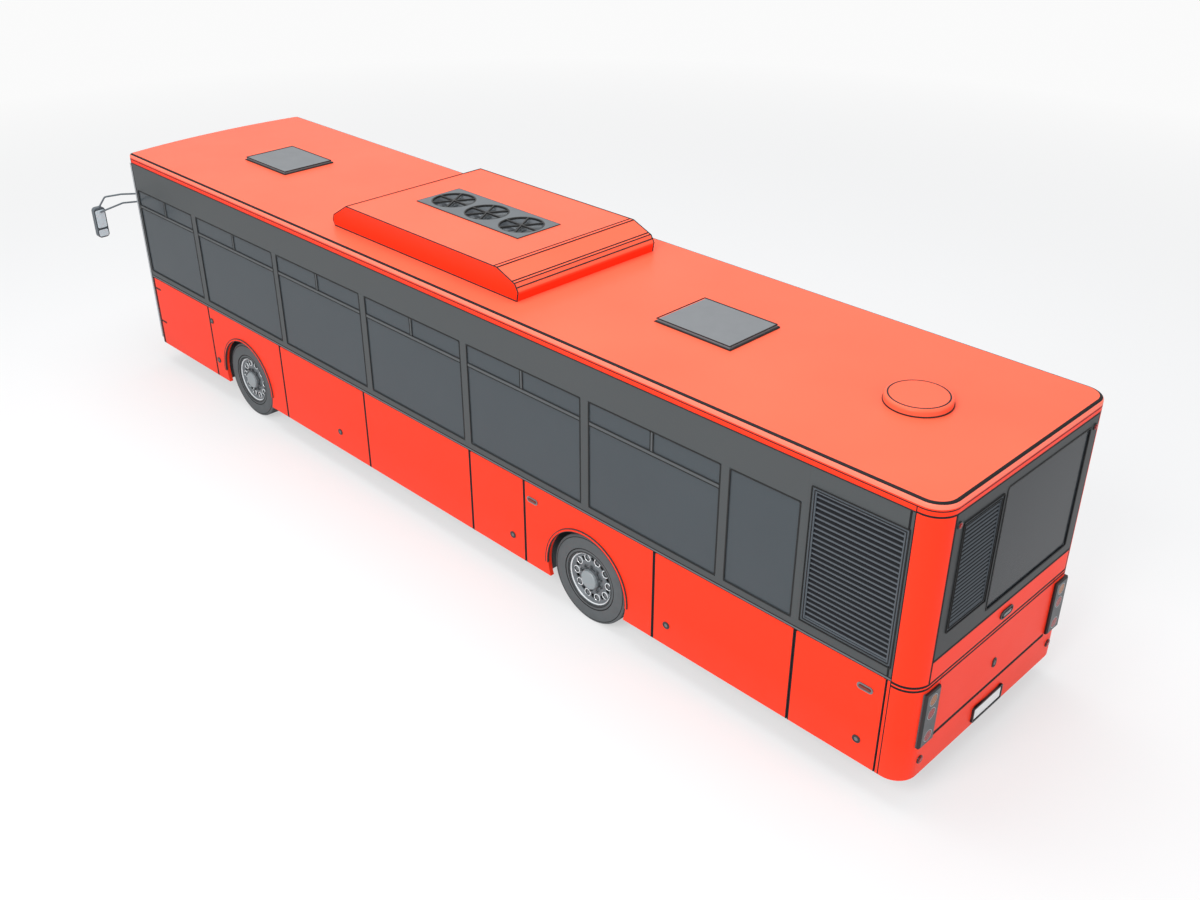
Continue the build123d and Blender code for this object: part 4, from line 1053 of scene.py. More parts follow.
@dataclass
class Body:
    """Painted shell, glass and the trims that are fixed to it."""

    window_heights: tuple[float, float] = (1.361, 2.486)
    side_gasket: Gasket = Gasket(0.015, 0.002, 0.03)
    rear_gasket: Gasket = Gasket(0.014, 0.004, 0.03)
    vent_steps: tuple[tuple[float, Gasket], ...] = (
        (0.0, Gasket(0.007, 0.010, 0.006)), (0.028, Gasket(0.006, 0.006, 0.006)))
    transom: tuple[float, float] = (2.240, 2.280)
    hopper_edge: tuple[float, float] = (0.011, 0.005)
    shortest_opening: float = 1.0
    left_windows: Section = (
        (1.214, 1.942), (2.028, 3.586), (3.682, 5.289), (5.382, 6.971), (7.064, 8.678), (8.762, 10.473),
        (10.572, 11.940))
    right_windows: Section = ((1.214, 1.942), (2.028, 3.586), (3.682, 5.480), (7.064, 8.678), (8.762, 10.380))
    rear_window: tuple[float, float, float, float] = (-0.980, 0.360, 1.580, 2.748)
    sheets: tuple[tuple[Point, Point], ...] = (
        ((-5.833, 1.2335, 1.402), (-4.985, 1.2395, 2.653)),
        ((-6.0645, 0.418, 1.722), (-6.0585, 0.967, 2.698)))
    painted: dict[Livery, tuple[str, ...]] = field(default_factory=lambda: {
        Livery.SIDES: ("wall_left", "wall_right", "flap_battery", "flap_tank", "flap_radiator", "flap_corner",
                       "flap_cab"),
        Livery.REAR: ("rear_mask",), Livery.FRONT: ("front_mask",), Livery.ROOF: ("roof",),
        Livery.AIR_UNIT: ("air_unit",), Livery.ENGINE_DOOR: ("engine_door",)})
    unit_outline: Section = (
        (-1.220, 2.955), (-1.238, 3.050), (-1.195, 3.125), (-0.940, 3.225), (1.530, 3.225), (1.780, 3.075),
        (1.803, 3.010), (1.775, 2.955))
    unit_seams: Section = (
        (-0.945, 3.2255), (-0.895, 3.2255), (-1.158, 3.1415), (-1.190, 3.1290), (-1.216, 3.0890),
        (1.530, 3.2255), (1.660, 3.1490))
    unit_half: float = 0.945
    fans: Point = (-0.240, 0.310, 0.860)
    fan_reach: float = 0.236
    fan_ring: Section = (
        (3.212, 0.228), (3.230, 0.229), (3.2325, 0.233), (3.2325, 0.238), (3.230, 0.241), (3.225, 0.241))
    hatches: dict[str, float] = field(default_factory=lambda: {"hatch_rear": 3.1945, "hatch_front": 10.260})
    hatch_bead: tuple[float, float, float, float] = (0.452, 0.350, 2.957, 2.9475)
    lid_edge: Point = (0.436, 0.337, 2.9835)
    vent_station: float = 1.050
    lines: tuple[Line, ...] = (
        Line("moulding_belt_low", BELT_RUNS, 0.001, 1.270, 0.008, 0.005),
        Line("moulding_belt_high", BELT_RUNS, 0.001, 1.294, 0.008, 0.005),
        Line("moulding_band", FULL_RUNS, 0.001, 2.829, 0.010, 0.005),
        Line("belt_strip", BELT_RUNS, 0.0005, 1.277, 0.015, 0.004, "strip", None),
        Line("corner_strips", CORNER_RUNS, 0.0005, 0.372, 2.455, 0.004, "corner", None))
    hinge_leaves: tuple[float, float] = (1.110, 0.632)
    arch: float = 0.536
    arch_sweep: tuple[float, float] = (186.0, 3.0)

    def __post_init__(self) -> None:
        """Makes the rubber that the trims share."""
        self.rubber = RUBBER.make()

    def paint(self) -> None:
        """Paints the shell's CAD nodes."""
        for livery, nodes in self.painted.items():
            finish = CoachPaint(livery).make()
            for node in nodes:
                dress_node(node, finish)

    def glaze(self) -> None:
        """Finishes all panes and the dividers of the windows."""
        dress_node("glass_sides", TintedGlass().make())
        dress_node("windscreen", TintedGlass("windscreen_glass", screen_colour(70, 78, 82), 0.55).make())
        door_glass = TintedGlass("door_glass", screen_colour(74, 80, 84), 0.6).make()
        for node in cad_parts:
            if "_pane_" in node:
                dress_node(node, door_glass)
        dress_node("window_bars", Enamel("bar_grey", screen_colour(74, 78, 80), 0.5).make())

    def seals(self) -> None:
        """Rubber surrounds of the side and rear windows, frames of the grilles and dark sheets behind them as
        painted shade.
        """
        low, high = self.window_heights
        for (side, word), windows in zip(SIDES, (self.left_windows, self.right_windows)):
            y = side * HALF_WIDTH
            parts = [Bench.surround("seal", (at(start), y, low), (at(end), y, high), self.side_gasket, side)
                     for start, end in windows]
            put_together("window_seals_" + word, parts, self.rubber)
        left, right, low, high = self.rear_window
        rear = at(0.0)
        seal = Bench.surround("rear_window_seal", (rear, left, low), (rear, right, high), self.rear_gasket,
                              -1)
        fit_out(seal, self.rubber, "body")
        self.vent_frame("side_grille_frame", (-5.850, HALF_WIDTH, 1.385), (-4.968, HALF_WIDTH, 2.670), 1)
        self.vent_frame("rear_grille_frame", (rear, 0.402, 1.706), (rear, 0.983, 2.714), -1)
        # painted shade: near-black sheets behind the grilles stand in for the shade inside
        mesh = Enamel("filter_mesh", screen_colour(22, 23, 25), 0.85, 0.0, 900.0, 0.0003).make()
        sheets = [Bench.soft_box("sheet", *corners, HAIRLINE, 1) for corners in self.sheets]
        put_together("grille_shade_sheets", sheets, mesh)

    def vent_frame(self, name: str, low: Point, high: Point, side: int) -> None:
        """Two stepped frames round a grille.

        Args:
            name: the piece's name.
            low: lowest corner of the grille on the wall's face.
            high: highest corner.
            side: 1 or -1, the way the wall's normal points.
        """
        parts = []
        for inset, gasket in self.vent_steps:
            steps = [inset if a != b else 0.0 for a, b in zip(low, high)]
            first = [a + step for a, step in zip(low, steps)]
            last = [b - step for b, step in zip(high, steps)]
            parts.append(Bench.surround("frame", first, last, gasket, side))
        put_together(name, parts, self.rubber)

    def hopper_seals(self) -> None:
        """Dark edges of the transoms and posts that divide the opening windows."""
        low, high = self.transom
        width, thick = self.hopper_edge
        for (side, word), windows in zip(SIDES, (self.left_windows, self.right_windows)):
            parts = []
            y = side * (HALF_WIDTH - 0.0005)
            for start, end in windows:
                if end - start < self.shortest_opening:
                    continue
                middle = (start + end) / 2
                for level in (low - 0.003, high - 0.005):
                    parts.append(Bench.ribbon("edge", level_path(start, end, y, level), width, thick))
                for post in (middle - 2 * width, middle + width):
                    path = level_path(post, post + width, y, high)
                    parts.append(Bench.ribbon("edge", path, self.window_heights[1] - high, thick))
            put_together("hopper_seals_" + word, parts, self.rubber, round_off=HAIRLINE)

    def air_unit(self) -> None:
        """Seams and beads of the air unit and guards over its fans."""
        seams = [Bench.tube("bead", [(x, -self.unit_half, z), (x, self.unit_half, z)], 0.0065)
                 for x, z in self.unit_seams]
        put_together("air_unit_seams", seams, self.rubber)
        guards = []
        for x in self.fans:
            for turn in map(math.radians, (0, 60, 120)):
                dx, dy = self.fan_reach * math.cos(turn), self.fan_reach * math.sin(turn)
                guards.append(Bench.tube("bar", [(x - dx, -dy, 3.2215), (x + dx, dy, 3.2215)], 0.0105))
            guards.append(Bench.smooth(Bench.lathe("ring", self.fan_ring, (x, 0, 0), "Z", 48), TURNED))
        put_together("fan_guards", guards, self.rubber)
        parts = []
        for side, _ in SIDES:
            y, foot = side * (self.unit_half + 0.0025), side * (self.unit_half + 0.006)
            parts.append(Bench.tube("bead", [(x, y, z) for x, z in self.unit_outline], 0.0062))
            parts.append(Bench.tube("bead", [(-1.215, foot, 2.956), (1.770, foot, 2.956)], 0.006))
        put_together("air_unit_beads", parts, self.rubber)

    def roof_beads(self) -> None:
        """Beads round the hatches, which dip at the hinges, round their lids and round the vent."""
        parts = []
        for hatch, middle in self.hatches.items():
            reach, half, z, hinge_z = self.hatch_bead
            corner = at(middle) + reach
            path = [(corner - 2 * reach, -half), (corner - 0.030, -half), (corner, -half), (corner, half),
                    (corner - 0.030, half), (corner - 2 * reach, half), (corner - 2 * reach, -half - 0.0001)]
            parts.append(Bench.tube("bead", [(x, y, hinge_z if x == corner else z) for x, y in path], 0.0085))
            reach, half, z = self.lid_edge
            path = [(-reach, -half), (reach, -half), (reach, half), (-reach, half), (-reach, -half - 0.0001)]
            edge = Bench.tube(hatch + "_edge", [(at(middle) + x, y, z) for x, y in path], 0.0060)
            fit_out(edge, self.rubber, hatch)
        put_together("hatch_beads", parts, self.rubber)
        foot = [(2.953, 0.2915), (2.962, 0.2915), (2.962, 0.2860), (2.953, 0.2860)]
        crown = [(3.0125, 0.2640), (3.0200, 0.2600), (3.0220, 0.2460), (3.0190, 0.2460)]
        rings = [Bench.lathe("ring", section, (at(self.vent_station), 0, 0), "Z", 56)
                 for section in (foot, crown)]
        put_together("vent_beads", rings, self.rubber, smooth=TURNED)

    def mouldings(self) -> None:
        """Rubber and enamel lines at the belt, over the window band and at the front corners."""
        finishes = {"rubber": self.rubber, "strip": STRIP.make(), "corner": CORNER.make()}
        for line in self.lines:
            paths = [level_path(front, rear, side * (HALF_WIDTH + line.out), line.height)
                     for front, rear, side in line.runs]
            parts = [Bench.ribbon("line", path, line.rise, line.thick) for path in paths]
            put_together(line.name, parts, finishes[line.finish], round_off=HAIRLINE)
        leaves = [Bench.ribbon("leaf", level_path(11.925, 11.800, HALF_WIDTH + 0.0005, height), 0.022, 0.005)
                  for height in self.hinge_leaves]
        put_together("cab_flap_hinge_leaves", leaves, self.rubber, body="flap_cab", round_off=HAIRLINE)

    def arches(self) -> None:
        """Painted lips round the wheel arches between two rubber beads, from swept sections."""
        lip_rubber = Enamel("lip_rubber", screen_colour(46, 44, 44), 0.55, 0.0, 700.0, 0.0001).make()
        red = CoachPaint(Livery.PLAIN).make()
        r = self.arch
        lip = [(-0.012, r), (0.009, r), (0.013, r + 0.004), (0.013, r + 0.018), (0.009, r + 0.022),
               (-0.012, r + 0.022)]
        beads = [[(-0.010, low), (0.010, low), (0.015, low + 0.002), (0.015, high - 0.002), (0.010, high),
                  (-0.010, high)] for low, high in ((r - 0.004, r + 0.004), (r + 0.021, r + 0.030))]

        def swept(word: str, section: Section, station: float, side: int) -> Piece:
            """Sweeps one section over an arch."""
            turned = [(side * (out + HALF_WIDTH), reach) for out, reach in section]
            centre = (at(station), 0, AXLE_HEIGHT)
            return Bench.smooth(Bench.lathe(word, turned, centre, "Y", 48, *self.arch_sweep), TURNED)

        for end, station in (("rear", REAR_AXLE), ("front", FRONT_AXLE)):
            for side, word in SIDES:
                name = "%s_%s" % (end, word)
                fit_out(swept("arch_lip_" + name, lip, station, side), red, "body")
                pair = [swept("bead", section, station, side) for section in beads]
                put_together("arch_beads_" + name, pair, lip_rubber)

    def build(self) -> None:
        """Builds the whole sub-assembly."""
        for work in (self.paint, self.glaze, self.seals, self.hopper_seals, self.air_unit, self.roof_beads,
                     self.mouldings, self.arches):
            work()


# --------------------------------------------------------------------------- fittings of the shell
class Form(Enum):
    """Kinds of the small fittings on the sides."""

    LOCK = "lock"
    MARKER = "marker"


@dataclass(frozen=True)
class Layer:
    """One pressed plate of a fitting: its word, shape, start outside the wall, finish and slot."""

    word: str
    stamp: Stamp
    out: float
    finish: str
    slot: str | None = None


@dataclass
class Fittings:
    """Locks, markers, handles, reflectors and the rear plate."""

    left: tuple[tuple[Form, str, float, float], ...] = (
        (Form.LOCK, "flap_battery", 7.728, 0.541), (Form.LOCK, "flap_tank", 4.685, 0.537),
        (Form.LOCK, "flap_radiator", 2.567, 0.535), (Form.LOCK, "flap_corner", 0.464, 0.529),
        (Form.LOCK, "body", 10.478, 1.088), (Form.LOCK, "body", 10.450, 0.543),
        (Form.MARKER, "body", 4.370, 1.086), (Form.MARKER, "flap_corner", 0.445, 1.079))
    right: tuple[tuple[Form, str, float, float], ...] = (
        (Form.MARKER, "body", 7.300, 1.086), (Form.MARKER, "body", 0.445, 1.079),
        (Form.MARKER, "body", 4.370, 1.086), (Form.LOCK, "body", 2.567, 0.535),
        (Form.LOCK, "body", 8.600, 0.535))
    layers: dict[Form, tuple[Layer, ...]] = field(default_factory=lambda: {
        Form.LOCK: (
            Layer("ring", Stamp(0.078, 0.072, 0.034, 0.007, 0.011, -0.004, 8), 0.0, "dark"),
            Layer("barrel", Stamp(0.036, 0.036, 0.017, 0.005, 0.007, -0.003, 6), 0.0028, "steel")),
        Form.MARKER: (
            Layer("bezel", Stamp(0.152, 0.064, 0.031, 0.009, 0.012, -0.003, 7), 0.0, "steel"),
            Layer("lens", Stamp(0.116, 0.028, 0.0135, 0.009, 0.005, 0.003, 7), 0.003, "amber",
                  "lens_amber"))})
    rear_row: tuple[tuple[str, float, float, tuple[Layer, ...]], ...] = (
        ("body", 0.0, 0.415, (
            Layer("plate_frame", Stamp(0.48, 0.155, 0.014, 0.020, 0.014, -0.010, 4), 0.0, "dark"),
            Layer("rear_plate", Stamp(0.43, 0.105, 0.010, 0.005, 0.006, -0.001, 4), 0.0095, "white"))),
        ("body", -0.04, 1.367, (
            Layer("rear_handle_bowl", Stamp(0.20, 0.085, 0.041, 0.012, 0.012, -0.008, 8), 0.0, "dark"),
            Layer("rear_handle_grip", Stamp(0.125, 0.032, 0.014, 0.011, 0.006, 0.002), 0.004, "steel"))),
        ("engine_door", 0.0, 0.857, (
            Layer("engine_door_lock", Stamp(0.060, 0.095, 0.029, 0.009, 0.008, -0.005, 8), 0.0, "dark"),
            Layer("engine_door_lock_barrel", Stamp(0.020, 0.045, 0.009, 0.007, 0.003, 0.001), 0.003,
                  "steel"))))
    rear_lamps: tuple[tuple[str, float, float, float], ...] = (
        ("reflector", 1.055, 0.47, 0.075), ("high_marker", 1.045, 2.723, 0.062))

    def __post_init__(self) -> None:
        """Makes the finishes."""
        self.finishes = {
            "dark": Enamel("fitting_black", screen_colour(38, 40, 42), 0.4, 0.0, 500.0, 0.00005).make(),
            "steel": Enamel("fitting_steel", screen_colour(128, 132, 134), 0.3, 0.7, 500.0, 0.00005).make(),
            "white": Enamel("plate_white", PLATE_WHITE, 0.45, 0.0, 800.0, 0.00003, 0.05).make(),
            "amber": LensPlastic("marker_amber", screen_colour(124, 52, 40), 0.006).make(),
            "red": LensPlastic("reflector_red", screen_colour(150, 22, 22), 0.005).make()}

    def press(self, name: str, layer: Layer, body: str, place: Point, axis: str, side: int) -> None:
        """Presses one plate of a fitting.

        Args:
            name: the piece's name.
            layer: what is pressed.
            body: the CAD body that it rides on.
            place: its middle on the wall.
            axis: the wall's normal.
            side: the way the normal points.
        """
        piece = Bench.badge(name, layer.stamp, place, axis, side, layer.out)
        if layer.slot:
            Bench.smooth(piece, MOULDED)
        fit_out(piece, self.finishes[layer.finish], body)

    def build(self) -> None:
        """Builds the whole sub-assembly."""
        for (side, word), rows in zip(SIDES, (self.left, self.right)):
            for index, (form, body, station, height) in enumerate(rows):
                for layer in self.layers[form]:
                    name = "%s_%s_%d_%s" % (form.value, word, index, layer.word)
                    self.press(name, layer, body, (at(station), side * HALF_WIDTH, height), "Y", side)
        for body, y, z, layers in self.rear_row:
            for layer in layers:
                self.press(layer.word, layer, body, (at(0.0), y, z), "X", -1)
        for side, word in SIDES:
            for kind, y, z, size in self.rear_lamps:
                lens = disc(size - 0.014, 0.006, 0.008, 0.004)
                for layer in (Layer("bezel", disc(size, 0.010, 0.006, -0.002), 0.0, "dark"),
                              Layer("lens", lens, 0.006, "red", "lens_red")):
                    name = "%s_%s_%s" % (kind, word, layer.word)
                    self.press(name, layer, "body", (at(0.0), side * y, z), "X", -1)


# --------------------------------------------------------------------------- front
BOW_RADIUS = 7.444              # of the front's face, seen from above
BOW_FACE = 6.030                # frame x of its middle


def bow(across: float, out: float = 0.0) -> float:
    """Frame x of the bowed front at a y, moved out of its face."""
    return BOW_FACE + out - BOW_RADIUS + math.sqrt(BOW_RADIUS * BOW_RADIUS - across * across)


@dataclass
class Front:
    """Blank display, windscreen seals, wipers, lamps and bumper of the front."""

    display: Point = (0.86, 2.605, 2.795)
    screen: Point = (1.12, 1.150, 2.560)
    wiper_sweeps: Section = ((0.78, 0.22), (-0.30, -0.86))
    spindle_height: float = 1.105
    blade_height: float = 1.45
    headlamp: tuple[float, float] = (0.90, 0.70)
    fog_lamp: tuple[float, float] = (0.62, 0.42)
    turn_lamp: tuple[float, float] = (1.10, 0.70)
    turn_stamp: Stamp = Stamp(0.085, 0.150, 0.030, 0.020, 0.010, 0.004, 6)
    plate_station: float = 0.25         # y at which the bow's x is taken for the plate
    plate_height: float = 0.405
    holder_stamp: Stamp = Stamp(0.56, 0.135, 0.012, 0.018, 0.012, -0.006, 4)
    plate_stamp: Stamp = Stamp(0.52, 0.108, 0.010, 0.004, 0.006, -0.001, 4)

    @staticmethod
    def strip(reach: float, height: float, rise: float, out: float, thick: float, count: int = 12) -> Piece:
        """A strip along the bow from one side to the other.

        Args:
            reach: half the run.
            height: z of its lower edge.
            rise: its height.
            out: how far outside the front's face.
            thick: its thickness.
            count: how many steps.

        Returns:
            The strip.
        """
        places = [-reach + 2 * reach * index / count for index in range(count + 1)]
        return Bench.ribbon("strip", [(bow(y, out), y, height) for y in places], rise, thick)

    def panels(self, rubber: Material) -> None:
        """Display glass, screen seals, bumper strip and the front vents."""
        half, low, high = self.display
        glass = Enamel("display_glass", screen_colour(14, 16, 18), 0.12, 0.0, 200.0, 0.00001, 0.1).make()
        pane = self.strip(half, low, high - low, 0.0015, 0.006)
        put_together("front_display", [pane], glass, round_off=0.0015)
        edges = [self.strip(half + 0.008, z, 0.010, 0.002, 0.008) for z in (low - 0.010, high)]
        half, low, high = self.screen
        edges += [self.strip(half, z, 0.022, 0.001, 0.008, 16) for z in (low - 0.004, high - 0.018)]
        for side, _ in SIDES:
            path = [(bow(half, 0.001), side * y, low) for y in (half - 0.012, half + 0.010)]
            edges.append(Bench.ribbon("edge", path, high - low, 0.008))
        put_together("front_seals", edges, rubber, round_off=HAIRLINE)
        strips = [self.strip(1.16, 0.505, 0.060, 0.004, 0.014, 16)]
        strips += [self.strip(0.52, z, 0.016, 0.004, 0.010, 8) for z in (0.845, 0.885, 0.925, 0.965)]
        put_together("bumper_and_vent_strips", strips, rubber, round_off=0.002)

    def wipers(self, black: Material) -> None:
        """Two wiper arms with their spindles, arms and blades."""
        parts = []
        foot, height = self.spindle_height, self.blade_height
        for pivot, tip in self.wiper_sweeps:
            spindle = Bench.drum("spindle", (bow(pivot, 0.012), pivot, foot), 0.026, 0.034, "X", 24)
            middle, knee = (pivot + tip) / 2, pivot + (tip - pivot) * 0.15
            arm = [(bow(pivot, 0.030), pivot, foot), (bow(pivot, 0.036), knee, foot + 0.075),
                   (bow(middle, 0.024), middle, height)]
            shares = [index / 6 - 0.5 for index in range(7)]
            spots = [(middle + (tip - middle) * share * 1.6, height + share * 0.62) for share in shares]
            parts += [Bench.bevel(spindle, 0.005), Bench.tube("arm", arm, 0.008),
                      Bench.tube("blade", [(bow(y, 0.012), y, z) for y, z in spots], 0.0065)]
        put_together("wipers", parts, black)

    def lights(self, steel: Material, black: Material) -> None:
        """Headlamp bezels, turn lamps, fog lamps and the front plate."""
        head = [(-0.016, 0.096), (0.010, 0.096), (0.016, 0.099), (0.016, 0.112), (0.010, 0.118),
                (-0.016, 0.118)]
        fog = [(-0.010, 0.044), (0.006, 0.044), (0.010, 0.047), (0.010, 0.055), (0.006, 0.060),
               (-0.010, 0.060)]
        dish = [(-0.004, 0.0445), (0.004, 0.040), (0.008, 0.020), (0.009, 0.0005)]
        bezels, glasses, turns = [], [], []
        for side, _ in SIDES:
            y, z = self.headlamp
            bezels.append(Bench.lathe("bezel", head, (bow(y), side * y, z), "X", 48))
            y, z = self.fog_lamp
            place = (bow(y, 0.002), side * y, z)
            bezels.append(Bench.lathe("bezel", fog, place, "X", 32))
            glasses.append(Bench.lathe("fog", dish, place, "X", 24, closed=False))
            y, z = self.turn_lamp
            turns.append(Bench.badge("turn", self.turn_stamp, (bow(y, -0.006), side * y, z), "X", 1))
        put_together("front_lamp_bezels", bezels, steel, smooth=TURNED)
        clear = LensPlastic("fog_clear", screen_colour(206, 212, 216), 0.007).make()
        put_together("fog_lenses", glasses, clear, smooth=ROUND)
        amber = LensPlastic("turn_amber", screen_colour(208, 118, 42), 0.008).make()
        put_together("front_turn_lamps", turns, amber, smooth=ROUND)
        place = (bow(self.plate_station), 0, self.plate_height)
        fit_out(Bench.badge("front_plate_frame", self.holder_stamp, place, "X", 1), black)
        white = Enamel("front_plate_white", PLATE_WHITE, 0.45).make()
        fit_out(Bench.badge("front_plate", self.plate_stamp, place, "X", 1, 0.011), white)

    def build(self) -> None:
        """Builds the whole sub-assembly."""
        black = Enamel("wiper_black", screen_colour(26, 28, 30), 0.45).make()
        self.panels(Enamel("front_rubber", screen_colour(20, 21, 23), 0.7).make())
        self.wipers(black)
        self.lights(Enamel("bezel_steel", screen_colour(120, 124, 127), 0.3, 0.6).make(), black)


@dataclass
class Mirrors:
    """Mirror glasses and their frames."""

    rear_face: float = 6.060
    middle: float = 1.735
    width: float = 0.124
    glasses: Section = ((2.150, 0.236), (1.962, 0.090))
    silver: Colour = (0.74, 0.82, 0.86, 1.0)
    clouded: Colour = (0.62, 0.70, 0.75, 1.0)

    def build(self) -> None:
        """Builds the whole sub-assembly."""
        recipe = Recipe("mirror_glass")
        silver = recipe.done(Base_Color=recipe.blend(recipe.noise(3.0) * 0.4, self.silver, self.clouded),
                             Roughness=0.06 + recipe.noise(20.0) * 0.05, Metallic=0.35)
        frames, panes = [], []
        for side, _ in SIDES:
            for z, height in self.glasses:
                place = (self.rear_face, side * self.middle, z)
                frame_stamp = Stamp(self.width + 0.014, height + 0.014, 0.022, 0.005, 0.006, -0.002, 6)
                pane_stamp = Stamp(self.width, height, 0.020, 0.005, 0.004, 0.001, 6)
                frames.append(Bench.badge("frame", frame_stamp, place, "X", -1))
                panes.append(Bench.badge("pane", pane_stamp, place, "X", -1, 0.002))
        black = Enamel("mirror_frame", screen_colour(30, 32, 34), 0.5).make()
        put_together("mirror_frames", frames, black)
        put_together("mirror_glasses", panes, silver)


# --------------------------------------------------------------------------- doors
@dataclass(frozen=True)
class Leaf:
    """One door leaf: its body, its rear and front edges and which edge meets the other leaf."""

    body: str
    rear: float
    front: float
    meets: int


@dataclass
class Doors:
    """Gaskets, nose rubbers and grab rails of the gliding doors, with the buttons beside them."""

    outer: float = -HALF_WIDTH
    stile: float = 0.055
    gasket: Gasket = Gasket(0.016, 0.002, 0.02)
    pane: tuple[float, float] = (0.516, 2.407)
    nose: tuple[float, float] = (0.420, 2.430)
    leaves: tuple[Leaf, ...] = (
        Leaf("door_front_leaf_a", 4.460, 5.045, 1), Leaf("door_front_leaf_b", 5.055, 5.640, -1),
        Leaf("door_middle_leaf_a", -0.440, 0.170, 1), Leaf("door_middle_leaf_b", 0.180, 0.790, -1))
    rail: Section = (
        (-0.004, 0.95), (0.035, 0.97), (0.042, 1.02), (0.042, 1.63), (0.035, 1.68), (-0.004, 1.70))
    button: Stamp = Stamp(0.090, 0.090, 0.043, 0.006, 0.010, -0.002, 8)
    buttons: tuple[float, float] = (4.318, -0.580)

    def build(self) -> None:
        """Builds the whole sub-assembly."""
        rubber = Enamel("door_rubber", screen_colour(18, 19, 21), 0.75, 0.0, 700.0, 0.0001).make()
        yellow = Enamel("door_rail_enamel", RAIL_YELLOW, 0.35).make()
        low, high = self.pane
        for leaf in self.leaves:
            gasket = Bench.surround("gasket", (leaf.rear + self.stile, self.outer, low),
                                    (leaf.front - self.stile, self.outer, high), self.gasket, -1)
            edge = leaf.front if leaf.meets > 0 else leaf.rear
            x = edge + leaf.meets * 0.0005
            nose = Bench.tube("nose", [(x, self.outer + 0.020, z) for z in self.nose], 0.0035, 3)
            put_together("gaskets_" + leaf.body, [gasket, nose], rubber, leaf.body)
            x, inner = edge - leaf.meets * 0.085, self.outer + 0.040
            rail = Bench.tube("grab_rail_" + leaf.body, [(x, inner + y, z) for y, z in self.rail], 0.0125, 3)
            fit_out(rail, yellow, leaf.body)
        buttons = [Bench.badge("button", self.button, (x, self.outer, 1.100), "Y", -1) for x in self.buttons]
        put_together("door_buttons", buttons, rubber)


# --------------------------------------------------------------------------- interior
@dataclass(frozen=True)
class SeatRow:
    """A pair of places: station of its middle, side and height of its cushion."""

    station: float
    side: int
    top: float


